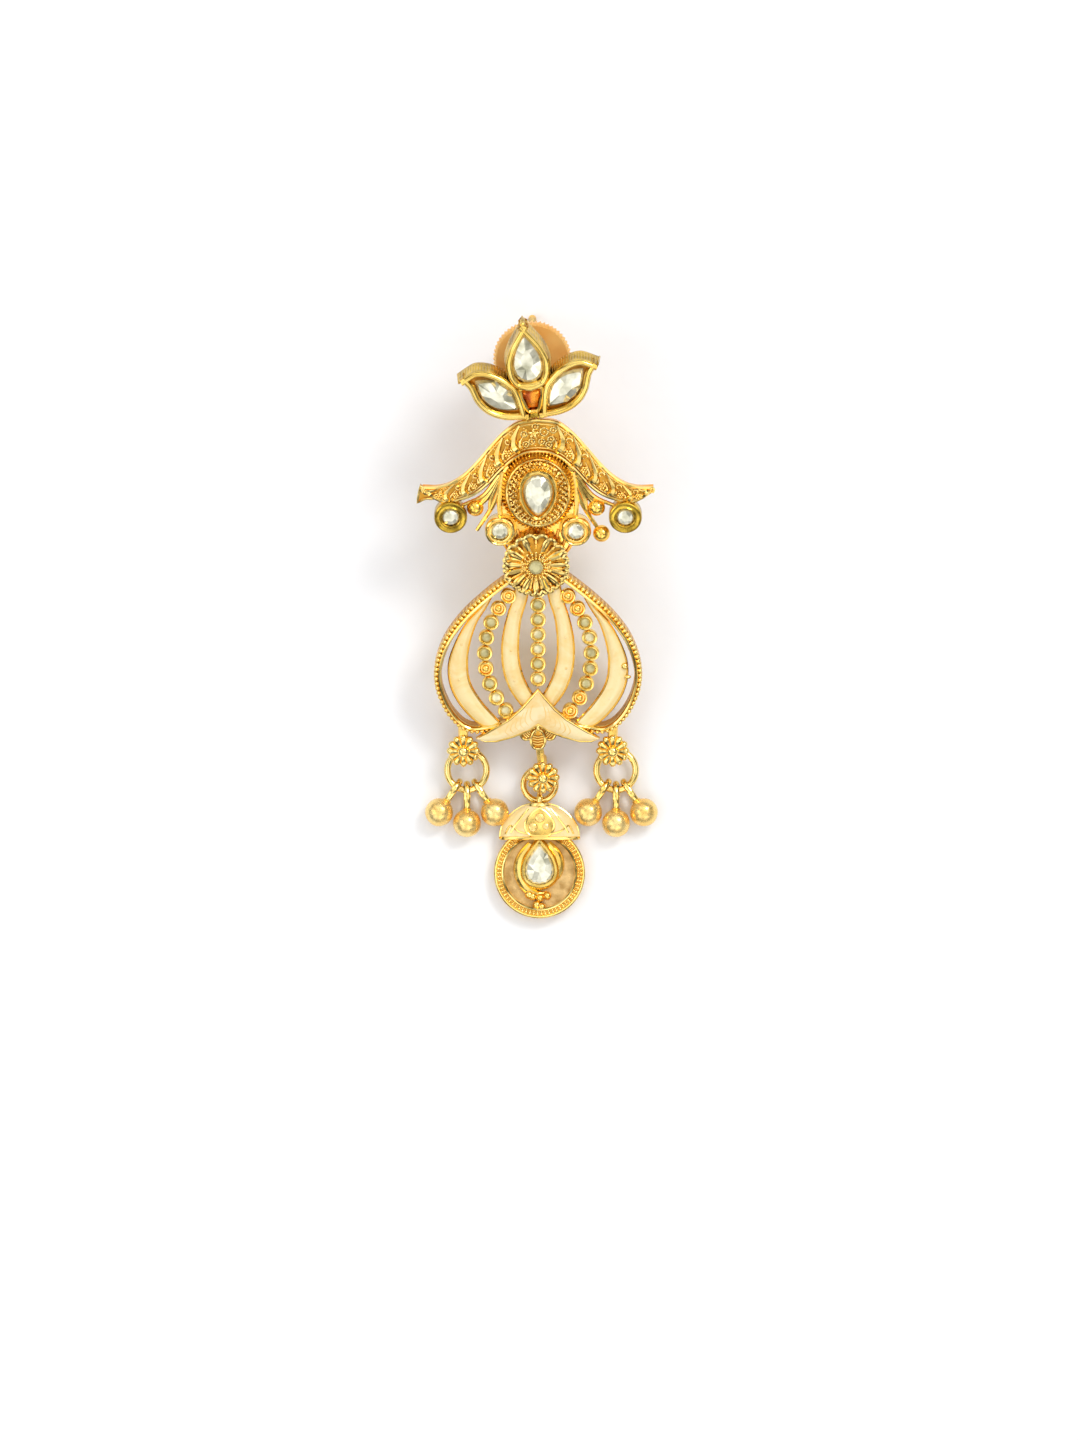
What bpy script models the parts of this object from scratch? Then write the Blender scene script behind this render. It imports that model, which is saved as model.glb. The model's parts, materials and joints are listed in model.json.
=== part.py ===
"""A long drop earring in cast gilt metal, lying face up on a surface.

A three-petal flower stud with a threaded post and a screw nut carries, on a short chain,
a canopy with a medallion, a rosette and an openwork bulb. Three daisies under the bulb
hold rings: two with bead clusters and one with a round pendant. The earring rests on its
post tip, on the bails behind the daisies, on the beads and on the pendant's back.
"""

import math

import bmesh
import bpy
from mathutils import Matrix, Vector

# Sizes, in metres. The main drop is drawn flat: x to the right, y up, z out of its face,
# with its origin at the bottom centre of the bulb's back.

SEAT_GAP = 0.00006  # between a stone or an enamel fill and its setting
LINK_GAP = 0.00005  # between two links that hang in each other
WIRE_SIDES = 6
RING_STEPS = 16

# Bulb: an openwork frame with curved blades, columns of small cups and a crossed leaf
BULB_WIDTH = 0.0208
BULB_HEIGHT = 0.0178
RIM_WALL = 0.0008
RIM_DEPTH = 0.0020
BLADE_FLOOR_LOW = 0.0009
BLADE_FLOOR_TOP = 0.0012
BLADE_EDGE_TOP = 0.00185
BLADE_EDGE_WALL = 0.00018
ENAMEL_EDGE_TOP = 0.00155
ENAMEL_CROWN = 0.00017
CUP_RADIUS = 0.00081
CUP_OVERLAP = 0.00005  # how far the flat sides of neighbouring cups run into each other
CUP_LOW = 0.0009
CUP_TOP = 0.0017
CUP_SIDES = 8
CENTRE_CUPS = 8
SIDE_CUPS = 9
LEAF_SPAN = 0.0124
LEAF_HEIGHT = 0.0057
LEAF_LOW = 0.0018
LEAF_TOP = 0.0025
LEAF_EDGE_WALL = 0.0002
LEAF_TRAY_DEPTH = 0.0004

# Rosette between the bulb and the canopy
ROSETTE_RADIUS = 0.0034
ROSETTE_X = -0.0002
ROSETTE_RISE = 0.00105  # of its middle above the bulb's height
ROSETTE_PETALS = 10
ROSETTE_LOW = 0.0006
ROSETTE_TOP = 0.0023
ROSETTE_INNER_RADIUS = 0.0022
ROSETTE_INNER_TOP = 0.0027
ROSETTE_CUP_RADIUS = 0.00095
ROSETTE_CUP_TOP = 0.0030
ROSETTE_STONE_RADIUS = 0.00068

# Canopy: a bell-shaped band with a medallion, four bezels, balls and wires
CANOPY_SPAN = 0.0230
CANOPY_RISE = 0.0162  # of its top above the bulb's height
CANOPY_DROP = 0.0090  # from the top of the band to its lowest edge
CANOPY_LOW = 0.0
CANOPY_FACE = 0.0016
BORDER_WIRE = 0.00027
MEDALLION_BELOW = 0.0075  # of its middle below the canopy's top
MEDALLION_HALF_WIDTH = 0.00365
MEDALLION_HALF_HEIGHT = 0.0041
MEDALLION_TOP = 0.0027
MEDALLION_SIDES = 20
MEDALLION_STONE_WIDTH = 0.00295
MEDALLION_STONE_LENGTH = 0.0043
MEDALLION_SETTING_WALL = 0.00038
MEDALLION_SETTING_TOP = 0.0033
OUTER_BEZEL_RADIUS = 0.00165
OUTER_BEZEL_X = 0.0087
OUTER_BEZEL_LAP = 0.00025  # over the canopy's lower edge
INNER_BEZEL_RADIUS = 0.00152
INNER_BEZEL_X = 0.00378
INNER_BEZEL_BELOW = 0.0117  # below the canopy's top
BEZEL_STONE_SHARE = 0.58  # of the bezel's radius
BEZEL_LOW = 0.0002
BEZEL_TOP = 0.0020
BEZEL_SIDES = 12
BALL_RADIUS = 0.00088
BALL_Z = 0.0011
STEM_WIRE = 0.00026

# Stud: a flower with three petals, its post and the screw nut
STUD_TURN = math.radians(7.0)
STUD_X = -0.0006
STUD_GAP = 0.00012  # between the flower's foot and the canopy's top
PETAL_HEIGHT = 0.0080  # from the flower's middle to its upper tip
PETAL_HALF_WIDTH = 0.00235
LEAF_PETAL_REACH = 0.0072
FLOWER_FOOT = 0.00245  # from the flower's middle down to its foot
FLOWER_DEPTH = 0.0028
FLOWER_WALL = 0.00055
FLOWER_SEAT = 0.0015  # the height on which the stones sit
TOP_STONE_WIDTH = 0.00275
TOP_STONE_LENGTH = 0.0049
TOP_STONE_Y = 0.0041
SIDE_STONE_WIDTH = 0.0024
SIDE_STONE_LENGTH = 0.0050
SIDE_STONE_X = 0.00342
SIDE_STONE_Y = 0.0006
SIDE_STONE_TILT = math.radians(49.0)  # outwards from upright
POST_LENGTH = 0.0160
POST_RADIUS = 0.0004
POST_X = 0.0003
POST_Y = 0.0022
COLLAR_RADIUS = 0.0010
COLLAR_HEIGHT = 0.0005
NUT_GAP = 0.0028  # from the flower's back to the nut's disc
NUT_RADIUS = 0.0039
NUT_THICKNESS = 0.0012
NUT_SLEEVE_LENGTH = 0.0058
NUT_SLEEVE_FOOT = 0.0015
NUT_SLEEVE_END = 0.00125
NUT_BORE = 0.00046
NUT_SIDES = 28

# Chain behind the stud: an eye on the flower, three links and an eye on the canopy
CHAIN_WIRE = 0.00021
CHAIN_LINK_WIDTH = 0.0015
CHAIN_DEPTH = 0.0007  # how far behind the back the chain's middle runs
EYE_RADIUS = 0.00062
EYE_WIRE = 0.00022
CANOPY_EYE_DROP = 0.0020
STUD_EYE_Y = 0.0001

# Daisies with their bails, rings, beads and pendant
DAISY_RADIUS = 0.00170
DAISY_PETALS = 12
DAISY_THICKNESS = 0.0013
SIDE_DAISY_X = 0.00745
SIDE_DAISY_Y = -0.0009
CENTRE_DAISY_X = 0.0005
CENTRE_DAISY_Y = -0.00352
BAIL_RADIUS = 0.0011
BAIL_WIRE = 0.0004
SIDE_BAIL_Y = -0.0016
SIDE_BAIL_Z = -0.0005
CENTRE_BAIL_Y = -0.0033
SIDE_RING_RADIUS = 0.00196
SIDE_RING_WIRE = 0.00034
CENTRE_RING_RADIUS = 0.0016
CENTRE_RING_WIRE = 0.00033
RING_HEIGHT = 0.00122  # of the rings' middle above the surface
SIDE_RING_SHIFT = 0.00035  # to the right, as the rings happen to lie
CENTRE_RING_SHIFT = -0.00035
BEAD_RADIUS = 0.00142
BEAD_EYE_WIRE = 0.00024
BEAD_EYE_WIDTH = 0.00085  # half the width of the eye's centre line
BEAD_EYE_ROOT = 0.00025  # how far the eye runs into the bead
BEAD_SPREAD = math.radians(33.5)
BEAD_REACH = 0.00503
MIDDLE_BEAD_REACH = 0.00528
PENDANT_RADIUS = 0.0046
PENDANT_RIM = 0.0009
PENDANT_DEPTH = 0.0020
PENDANT_FLOOR_LOW = 0.0007
PENDANT_FLOOR_TOP = 0.0011
PENDANT_HOLE = 0.0007
PENDANT_SIDES = 28
PENDANT_STONE_WIDTH = 0.0029
PENDANT_STONE_LENGTH = 0.0041
PENDANT_STONE_Y = 0.0009
PENDANT_SETTING_WALL = 0.00035
PENDANT_SETTING_TOP = 0.0021
PENDANT_STONE_SEAT = 0.0014
CRESCENT_WIRE = 0.00033
GRANULE_RADIUS = 0.00037
CAP_WIDTH = 0.0080
CAP_HEIGHT = 0.0035
CAP_FOOT_Y = 0.0034
CAP_LOW = 0.0003
CAP_TOP = 0.0026
CAP_EDGE_WALL = 0.0003
CAP_TRAY_DEPTH = 0.0005
PENDANT_EYE_Y = 0.0072
PENDANT_EYE_RADIUS = 0.0008
PENDANT_EYE_WIRE = 0.00027

CANOPY_TOP = BULB_HEIGHT + CANOPY_RISE

# Tables of shares, chosen by eye. Right half of each symmetric outline, from the top down.

# x as a share of half the bulb's width, y as a share of its height
BULB_OUTLINE = [
    (0.00, 1.070),
    (0.15, 1.050),
    (0.30, 0.985),
    (0.52, 0.880),
    (0.715, 0.770),
    (0.865, 0.655),
    (0.955, 0.545),
    (1.00, 0.430),
    (0.99, 0.325),
    (0.935, 0.225),
    (0.850, 0.140),
    (0.735, 0.075),
    (0.58, 0.050),
    (0.30, 0.085),
    (0.00, 0.145),
]
# y as a share of the bulb's height, then the blade's outer and inner edge as shares of half its width
OUTER_BLADE = [
    (0.880, 0.470, 0.430),
    (0.800, 0.548, 0.500),
    (0.710, 0.680, 0.590),
    (0.590, 0.790, 0.655),
    (0.470, 0.855, 0.680),
    (0.350, 0.845, 0.650),
    (0.240, 0.765, 0.545),
    (0.140, 0.625, 0.400),
    (0.075, 0.470, 0.290),
]
INNER_BLADE = [
    (0.960, 0.200, 0.085),
    (0.850, 0.238, 0.108),
    (0.736, 0.298, 0.163),
    (0.612, 0.340, 0.187),
    (0.493, 0.344, 0.183),
    (0.395, 0.318, 0.145),
    (0.310, 0.262, 0.080),
    (0.265, 0.215, 0.035),
    (0.205, 0.140, 0.005),
]
# The side columns' cups stand on an arc through these three places, in shares as above
SIDE_COLUMN = [(0.285, 0.865), (0.510, 0.480), (0.310, 0.185)]
CENTRE_COLUMN_TOP = 0.905
# x as a share of half the leaf's span, y as a share of its height
LEAF_OUTLINE = [
    (0.000, 1.030),
    (0.125, 0.860),
    (0.275, 0.665),
    (0.470, 0.470),
    (0.670, 0.330),
    (0.840, 0.220),
    (1.000, 0.110),
    (0.860, 0.040),
    (0.670, 0.040),
    (0.410, 0.120),
    (0.150, 0.235),
    (0.000, 0.355),
]
# x as a share of half the canopy's span, y as a share of its drop below its top
CANOPY_OUTER = [
    (0.000, 0.000),
    (0.160, 0.030),
    (0.285, 0.140),
    (0.395, 0.290),
    (0.515, 0.480),
    (0.630, 0.640),
    (0.750, 0.750),
    (0.870, 0.800),
    (1.000, 0.805),
]
CANOPY_INNER = [
    (0.890, 0.930),
    (0.790, 0.980),
    (0.670, 0.945),
    (0.545, 0.880),
    (0.425, 0.755),
    (0.325, 0.610),
    (0.215, 0.480),
    (0.105, 0.405),
    (0.000, 0.390),
]
# Petals of the stud, in shares of the petal's half width and height, and of the leaf's reach
TOP_PETAL = [
    (0.00, 1.00),
    (0.30, 0.870),
    (0.72, 0.690),
    (0.96, 0.530),
    (1.00, 0.400),
    (0.90, 0.250),
    (0.60, 0.130),
    (0.00, 0.095),
]
LEAF_PETAL = [
    (0.060, -0.330),
    (0.200, -0.318),
    (0.380, -0.300),
    (0.555, -0.240),
    (0.705, -0.130),
    (0.812, 0.030),
    (0.880, 0.230),
    (1.000, 0.375),
    (0.870, 0.450),
    (0.730, 0.505),
    (0.560, 0.480),
    (0.400, 0.400),
    (0.260, 0.285),
    (0.140, 0.110),
]
HEART_CELL = [(0.140, 0.125), (0.132, 0.020), (0.060, -0.150), (0.0, -0.160)]
# x as a share of half the cap's width, y as a share of its height
CAP_OUTLINE = [
    (0.00, 1.00),
    (0.30, 0.98),
    (0.60, 0.80),
    (0.85, 0.52),
    (0.985, 0.22),
    (1.00, 0.03),
    (0.50, -0.02),
    (0.00, -0.03),
]
PENDANT_GRANULES = [(-0.15, -0.51), (0.01, -0.545), (0.17, -0.50), (-0.06, -0.70), (0.05, -0.74)]
# Stems run from beside the medallion; x and y as shares of half the span and of the drop
BALL_STEM = [(0.290, 0.590), (0.385, 0.800), (0.500, 1.000)]
LOW_BALL_STEM = [(0.310, 0.680), (0.375, 1.000), (0.520, 1.290)]
BEZEL_STEM = [(0.320, 0.800), (0.345, 1.050), (0.330, 1.200)]
BALL_PLACES = {"left": (-0.543, 1.045), "right": (0.508, 1.040), "low": (0.550, 1.345)}
SKIRT_OUTLINE = [(0.300, 0.80), (0.345, 1.120), (0.380, 1.330), (0.270, 1.480), (0.220, 1.700)]

GOLD = (0.86, 0.56, 0.16)
OLIVE_GOLD = (0.62, 0.47, 0.14)
ENAMEL = (0.93, 0.80, 0.55)
CRYSTAL = (0.84, 0.84, 0.78)
AMBER = (0.62, 0.22, 0.04)


# Scene and mesh helpers


def clear_scene():
    for obj in list(bpy.data.objects):
        bpy.data.objects.remove(obj)


def new_collection(name, hidden=False):
    collection = bpy.data.collections.new(name)
    collection.hide_render = hidden
    bpy.context.scene.collection.children.link(collection)
    return collection


def material(name, colour, roughness, metallic):
    made = bpy.data.materials.new(name)
    made.use_nodes = True
    shader = made.node_tree.nodes["Principled BSDF"]
    shader.inputs["Base Color"].default_value = (*colour, 1.0)
    shader.inputs["Roughness"].default_value = roughness
    shader.inputs["Metallic"].default_value = metallic
    return made


def evaluated_mesh(obj):
    """The object's evaluated mesh in world space, welded."""
    bpy.context.view_layer.update()
    graph = bpy.context.evaluated_depsgraph_get()
    mesh = bpy.data.meshes.new_from_object(obj.evaluated_get(graph))
    mesh.transform(obj.matrix_world)
    shape = bmesh.new()
    shape.from_mesh(mesh)
    bmesh.ops.remove_doubles(shape, verts=shape.verts, dist=1e-7)
    bmesh.ops.dissolve_degenerate(shape, edges=shape.edges, dist=1e-7)
    bmesh.ops.recalc_face_normals(shape, faces=shape.faces)
    shape.to_mesh(mesh)
    shape.free()
    return mesh


def as_mesh(obj):
    """Replaces a curve or a modified object by a plain mesh object at the origin."""
    mesh = evaluated_mesh(obj)
    made = bpy.data.objects.new(obj.name, mesh)
    bpy.context.scene.collection.objects.link(made)
    bpy.data.objects.remove(obj)
    return made


def placed(obj, place=(0, 0, 0), turn=0.0, scale=(1, 1, 1)):
    """Scales, turns about z and moves an object's mesh."""
    matrix = Matrix.Translation(place) @ Matrix.Rotation(turn, 4, "Z") @ Matrix.Diagonal((*scale, 1))
    obj.data.transform(matrix)
    if scale[0] * scale[1] * scale[2] < 0:
        obj.data.flip_normals()
    return obj


def last_added(name):
    obj = bpy.context.object
    obj.name = name
    return as_mesh(obj)


# Outlines


def scaled(table, width, height, x=0.0, y=0.0):
    return [(x + a * width, y + b * height) for a, b in table]


def mirrored(points):
    """A closed outline from its right half, which runs from the top to the bottom."""
    left = [(-a, b) for a, b in reversed(points) if abs(a) > 1e-9]
    return list(points) + left


def curve_through(points, steps, closed=True, corners=()):
    """Points on a smooth line through the given ones, which turns sharply only at the corners."""
    count = len(points)
    spans = count if closed else count - 1
    found = []
    for i in range(spans):
        p0, p1, p2, p3 = (Vector(points[(i + k) % count]) for k in (-1, 0, 1, 2))
        if i in corners or (not closed and i == 0):
            p0 = p1 + (p1 - p2)
        if (i + 1) % count in corners or (not closed and i == spans - 1):
            p3 = p2 + (p2 - p1)
        for step in range(steps):
            t = step / steps
            bend = (2 * p0 - 5 * p1 + 4 * p2 - p3) * t * t + (3 * p1 - p0 - 3 * p2 + p3) * t**3
            found.append(tuple(p1 + ((p2 - p0) * t + bend) / 2))
    if not closed:
        found.append(tuple(points[-1]))
    return found


def area(points):
    pairs = zip(points, points[1:] + points[:1])
    return sum(a[0] * b[1] - b[0] * a[1] for a, b in pairs) / 2


def inset(points, distance):
    """The outline moved inwards by a distance, or outwards if it is negative."""
    side = 1 if area(points) > 0 else -1
    count = len(points)
    moved = []
    for i, point in enumerate(points):
        before = (Vector(point) - Vector(points[i - 1])).normalized()
        after = (Vector(points[(i + 1) % count]) - Vector(point)).normalized()
        normal = Vector((-before.y - after.y, before.x + after.x)).normalized() * side
        lean = max(0.55, normal.dot(Vector((-before.y, before.x)) * side))
        moved.append(tuple(Vector(point) + normal * distance / lean))
    return moved


def pear(width, length, steps):
    """A pear outline with its tip up, round its middle."""
    widest = 0.77
    found = []
    for i in range(steps):
        angle = 2 * math.pi * i / steps
        x = width / 2 * math.sin(angle) * abs(math.sin(angle / 2)) / widest
        found.append((x, length / 2 * math.cos(angle)))
    return found[::-1]


def marquise(width, length, steps):
    """A pointed oval, its long way up."""
    found = []
    for i in range(steps):
        angle = 2 * math.pi * i / steps
        side = 1 if math.sin(angle) >= 0 else -1
        found.append((side * width / 2 * math.sin(angle) ** 2, length / 2 * math.cos(angle)))
    return found[::-1]


def circle(radius, steps):
    angles = [2 * math.pi * i / steps for i in range(steps)]
    return [(radius * math.cos(a), radius * math.sin(a)) for a in angles]


def lobed(radius, valley, lobes, start=math.pi / 2):
    """A flower outline: two points to a lobe and one to each valley."""
    found = []
    for i in range(lobes):
        middle = start + 2 * math.pi * i / lobes
        half = math.pi / lobes
        for offset, reach in ((-1.0, valley), (-0.4, 1.0), (0.4, 1.0)):
            angle = middle + offset * half
            found.append((radius * reach * math.cos(angle), radius * reach * math.sin(angle)))
    return found


# Solids


def plate(name, outline, low, high, holes=()):
    """A flat outline with a thickness, from one height to another."""
    curve = bpy.data.curves.new(name, "CURVE")
    curve.dimensions = "2D"
    curve.fill_mode = "BOTH"
    curve.extrude = (high - low) / 2
    for points in [outline, *holes]:
        spline = curve.splines.new("POLY")
        spline.points.add(len(points) - 1)
        for target, point in zip(spline.points, points):
            target.co = (point[0], point[1], 0, 1)
        spline.use_cyclic_u = True
    obj = bpy.data.objects.new(name, curve)
    obj.location.z = (low + high) / 2
    bpy.context.scene.collection.objects.link(obj)
    return as_mesh(obj)


def tube(name, points, radius, closed=False):
    """A round wire along points in space."""
    curve = bpy.data.curves.new(name, "CURVE")
    curve.dimensions = "3D"
    curve.bevel_depth = radius
    curve.bevel_resolution = 1
    curve.use_fill_caps = not closed
    spline = curve.splines.new("POLY")
    spline.points.add(len(points) - 1)
    for target, point in zip(spline.points, points):
        target.co = (*point, 1)
    spline.use_cyclic_u = closed
    obj = bpy.data.objects.new(name, curve)
    bpy.context.scene.collection.objects.link(obj)
    return as_mesh(obj)


def turned(name, profile, sides):
    """A solid turned about z from a profile of (radius, height), closed on itself or at the axis."""
    mesh = bpy.data.meshes.new(name)
    closed = profile[0][0] > 0
    edges = [(i, i + 1) for i in range(len(profile) - 1)]
    if closed:
        edges.append((len(profile) - 1, 0))
    mesh.from_pydata([(r, 0, z) for r, z in profile], edges, [])
    obj = bpy.data.objects.new(name, mesh)
    bpy.context.scene.collection.objects.link(obj)
    screw = obj.modifiers.new("turn", "SCREW")
    screw.steps = sides
    screw.render_steps = sides
    screw.use_merge_vertices = True
    screw.merge_threshold = 1e-7
    return as_mesh(obj)


def ball(name, radius, segments=10, rings=6):
    bpy.ops.mesh.primitive_uv_sphere_add(radius=radius, segments=segments, ring_count=rings)
    return last_added(name)


def hoop(name, radius, wire, steps=RING_STEPS, sides=WIRE_SIDES, upright=False):
    """A ring lying flat, or standing in the y-z plane."""
    turn = (0, math.pi / 2, 0) if upright else (0, 0, 0)
    bpy.ops.mesh.primitive_torus_add(
        major_radius=radius,
        minor_radius=wire,
        major_segments=steps,
        minor_segments=sides,
        rotation=turn,
    )
    return last_added(name)


def cylinder(name, radius, low, high, sides=12):
    bpy.ops.mesh.primitive_cylinder_add(
        radius=radius, depth=high - low, vertices=sides, location=(0, 0, (low + high) / 2)
    )
    return last_added(name)


def lofted(name, sections):
    """A closed skin over sections that have as many points as each other, flat at both ends."""
    shape = bmesh.new()
    rows = [[shape.verts.new(point) for point in section] for section in sections]
    for row, after in zip(rows, rows[1:]):
        for i in range(len(row)):
            shape.faces.new((row[i - 1], row[i], after[i], after[i - 1]))
    shape.faces.new(rows[0])
    shape.faces.new(reversed(rows[-1]))
    bmesh.ops.triangulate(shape, faces=shape.faces)
    bmesh.ops.recalc_face_normals(shape, faces=shape.faces)
    mesh = bpy.data.meshes.new(name)
    shape.to_mesh(mesh)
    shape.free()
    obj = bpy.data.objects.new(name, mesh)
    bpy.context.scene.collection.objects.link(obj)
    return obj


def combined(name, base, others, operation):
    """Joins or cuts the base with all the others in one Boolean."""
    tools = new_collection(name + "_tools", hidden=True)
    for other in others:
        bpy.context.scene.collection.objects.unlink(other)
        tools.objects.link(other)
        other.hide_render = True
        other.display_type = "WIRE"
    boolean = base.modifiers.new("combine", "BOOLEAN")
    boolean.operation = operation
    boolean.solver = "EXACT"
    boolean.operand_type = "COLLECTION"
    boolean.collection = tools
    base.name = name
    made = as_mesh(base)
    for other in others:
        bpy.data.objects.remove(other)
    bpy.data.collections.remove(tools)
    return made


def fused(name, parts):
    return combined(name, parts[0], parts[1:], "UNION")


def cut(name, base, cutters):
    return combined(name, base, cutters, "DIFFERENCE")


# Stones


def cut_stone(name, outline, low, high):
    """A cut stone: a flat back, a girdle, a ring of facets and a table."""
    depth = high - low
    levels = [(0.84, 0.0), (1.0, 0.40), (0.80, 0.80), (0.48, 1.0)]
    sections = []
    for share, height in levels:
        sections.append([(x * share, y * share, low + depth * height) for x, y in outline])
    return lofted(name, sections)


# Bulb


def blade_sections(table, side, low_z, top_of):
    """Sections of a blade: for each row, its two edges on the given side of the middle."""
    half = BULB_WIDTH / 2
    rows = [(b * half * side, c * half * side, a * BULB_HEIGHT) for a, b, c in table]
    return [top_of(Vector((o, y)), Vector((i, y)), low_z) for o, i, y in rows]


def tray_section(outer, inner, low_z):
    """Across a blade: a floor with a raised edge at each side."""
    across = (inner - outer).normalized()
    wall = min(BLADE_EDGE_WALL, (inner - outer).length * 0.3)
    floor_top, edge_top = BLADE_FLOOR_TOP, BLADE_EDGE_TOP
    left, right = outer + across * wall, inner - across * wall
    marks = [(outer, low_z), (inner, low_z), (inner, edge_top), (right, edge_top)]
    marks += [(right, floor_top), (left, floor_top), (left, edge_top), (outer, edge_top)]
    return [(p.x, p.y, z) for p, z in marks]


def fill_section(outer, inner, low_z):
    """Across a blade: the enamel that lies in its tray, with a crowned face."""
    across = (inner - outer).normalized()
    edge = min(BLADE_EDGE_WALL, (inner - outer).length * 0.3) + SEAT_GAP
    left, right = outer + across * edge, inner - across * edge
    middle = (left + right) / 2
    crown = ENAMEL_EDGE_TOP + ENAMEL_CROWN
    marks = [(left, low_z), (right, low_z), (right, ENAMEL_EDGE_TOP), (middle, crown)]
    marks.append((left, ENAMEL_EDGE_TOP))
    return [(p.x, p.y, z) for p, z in marks]


def bulb_outline():
    half = scaled(BULB_OUTLINE, BULB_WIDTH / 2, BULB_HEIGHT)
    return curve_through(mirrored(half), 2)


def leaf_outline():
    half = scaled(LEAF_OUTLINE, LEAF_SPAN / 2, LEAF_HEIGHT)
    return mirrored(half)


def arc_through(first, middle, last, count):
    """Evenly spaced places on the arc through three points."""
    a, b, c = Vector(first), Vector(middle), Vector(last)
    d = 2 * (a.x * (b.y - c.y) + b.x * (c.y - a.y) + c.x * (a.y - b.y))
    aa, bb, cc = a.length_squared, b.length_squared, c.length_squared
    centre = Vector(
        (
            (aa * (b.y - c.y) + bb * (c.y - a.y) + cc * (a.y - b.y)) / d,
            (aa * (c.x - b.x) + bb * (a.x - c.x) + cc * (b.x - a.x)) / d,
        )
    )
    radius = (a - centre).length
    start = math.atan2(a.y - centre.y, a.x - centre.x)
    end = math.atan2(c.y - centre.y, c.x - centre.x)
    angles = [start + (end - start) * i / (count - 1) for i in range(count)]
    return [(centre.x + radius * math.cos(t), centre.y + radius * math.sin(t)) for t in angles]


def small_cup(name, place, radius, turn=0.0):
    """A column's cup: a raised lip round a small set stone, fused to it."""
    height = CUP_TOP - CUP_LOW
    profile = [
        (0, CUP_LOW),
        (radius, CUP_LOW),
        (radius * 0.86, CUP_TOP),
        (radius * 0.60, CUP_LOW + height * 0.62),
        (0, CUP_LOW + height * 0.88),
    ]
    return placed(turned(name, profile, CUP_SIDES), (*place, 0), turn=turn)


def cup_columns():
    """The three columns of cups between the blades, each cup with a flat side to the next."""
    half = BULB_WIDTH / 2
    flat = math.cos(math.pi / CUP_SIDES)
    pitch = 2 * CUP_RADIUS * flat - CUP_OVERLAP
    top = CENTRE_COLUMN_TOP * BULB_HEIGHT
    places = [(0, top - pitch * i) for i in range(CENTRE_CUPS)]
    cups = [small_cup("centre_cup", place, CUP_RADIUS) for place in places]
    ends = scaled(SIDE_COLUMN, half, BULB_HEIGHT)
    arc = arc_through(*ends, SIDE_CUPS)
    spacing = (Vector(arc[1]) - Vector(arc[0])).length
    radius = (spacing + CUP_OVERLAP) / 2 / flat
    for side in (-1, 1):
        for i, (x, y) in enumerate(arc):
            near = Vector(arc[min(i + 1, len(arc) - 1)]) - Vector(arc[max(i - 1, 0)])
            turn = math.atan2(near.y, near.x * side) - math.pi / 2
            cups.append(small_cup("side_cup", (x * side, y), radius, turn))
    return cups


def bulb_parts():
    outline = bulb_outline()
    rim = plate("rim", outline, 0, RIM_DEPTH, holes=[inset(outline, RIM_WALL)])
    parts = [rim]
    for side in (-1, 1):
        for table in (OUTER_BLADE, INNER_BLADE):
            parts.append(lofted("blade", blade_sections(table, side, BLADE_FLOOR_LOW, tray_section)))
    leaf = leaf_outline()
    parts.append(plate("heel", inset(leaf, LEAF_EDGE_WALL), BLADE_FLOOR_LOW, LEAF_LOW + SEAT_GAP))
    whole = plate("leaf", leaf, LEAF_LOW, LEAF_TOP)
    tray = plate("tray", inset(leaf, LEAF_EDGE_WALL), LEAF_TOP - LEAF_TRAY_DEPTH, LEAF_TOP * 2)
    parts.append(cut("leaf", whole, [tray]))
    return parts + cup_columns()


def enamel_fills():
    """The enamel of the four blades, short of their soldered ends, and of the crossed leaf."""
    low = BLADE_FLOOR_TOP + SEAT_GAP
    fills = {}
    for side, hand in ((-1, "left"), (1, "right")):
        for table, where in ((OUTER_BLADE, "outer"), (INNER_BLADE, "inner")):
            name = f"enamel_blade_{hand}_{where}"
            fills[name] = lofted(name, blade_sections(table[1:-1], side, low, fill_section))
    edge = LEAF_EDGE_WALL + SEAT_GAP
    base = LEAF_TOP - LEAF_TRAY_DEPTH + SEAT_GAP
    fills["enamel_leaf"] = plate("enamel_leaf", inset(leaf_outline(), edge), base, LEAF_TOP - SEAT_GAP)
    return fills


# Rosette, canopy and daisies


def rosette_place():
    return (ROSETTE_X, BULB_HEIGHT + ROSETTE_RISE, 0)


def rosette_parts():
    tiers = [
        plate("petals", lobed(ROSETTE_RADIUS, 0.80, ROSETTE_PETALS), ROSETTE_LOW, ROSETTE_TOP),
        plate(
            "inner_petals",
            lobed(ROSETTE_INNER_RADIUS, 0.84, ROSETTE_PETALS, 0.0),
            ROSETTE_TOP - 2 * SEAT_GAP,
            ROSETTE_INNER_TOP,
        ),
    ]
    stone = ROSETTE_STONE_RADIUS + SEAT_GAP
    profile = [
        (0, ROSETTE_INNER_TOP - 5 * SEAT_GAP),
        (ROSETTE_CUP_RADIUS, ROSETTE_INNER_TOP - 5 * SEAT_GAP),
        (ROSETTE_CUP_RADIUS, ROSETTE_CUP_TOP - SEAT_GAP),
        (stone + SEAT_GAP, ROSETTE_CUP_TOP),
        (stone, ROSETTE_INNER_TOP),
        (0, ROSETTE_INNER_TOP),
    ]
    tiers.append(turned("cup", profile, 12))
    return [placed(tier, rosette_place()) for tier in tiers]


def canopy_point(a, b, side=1):
    return (a * side * CANOPY_SPAN / 2, CANOPY_TOP - b * CANOPY_DROP)


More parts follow.
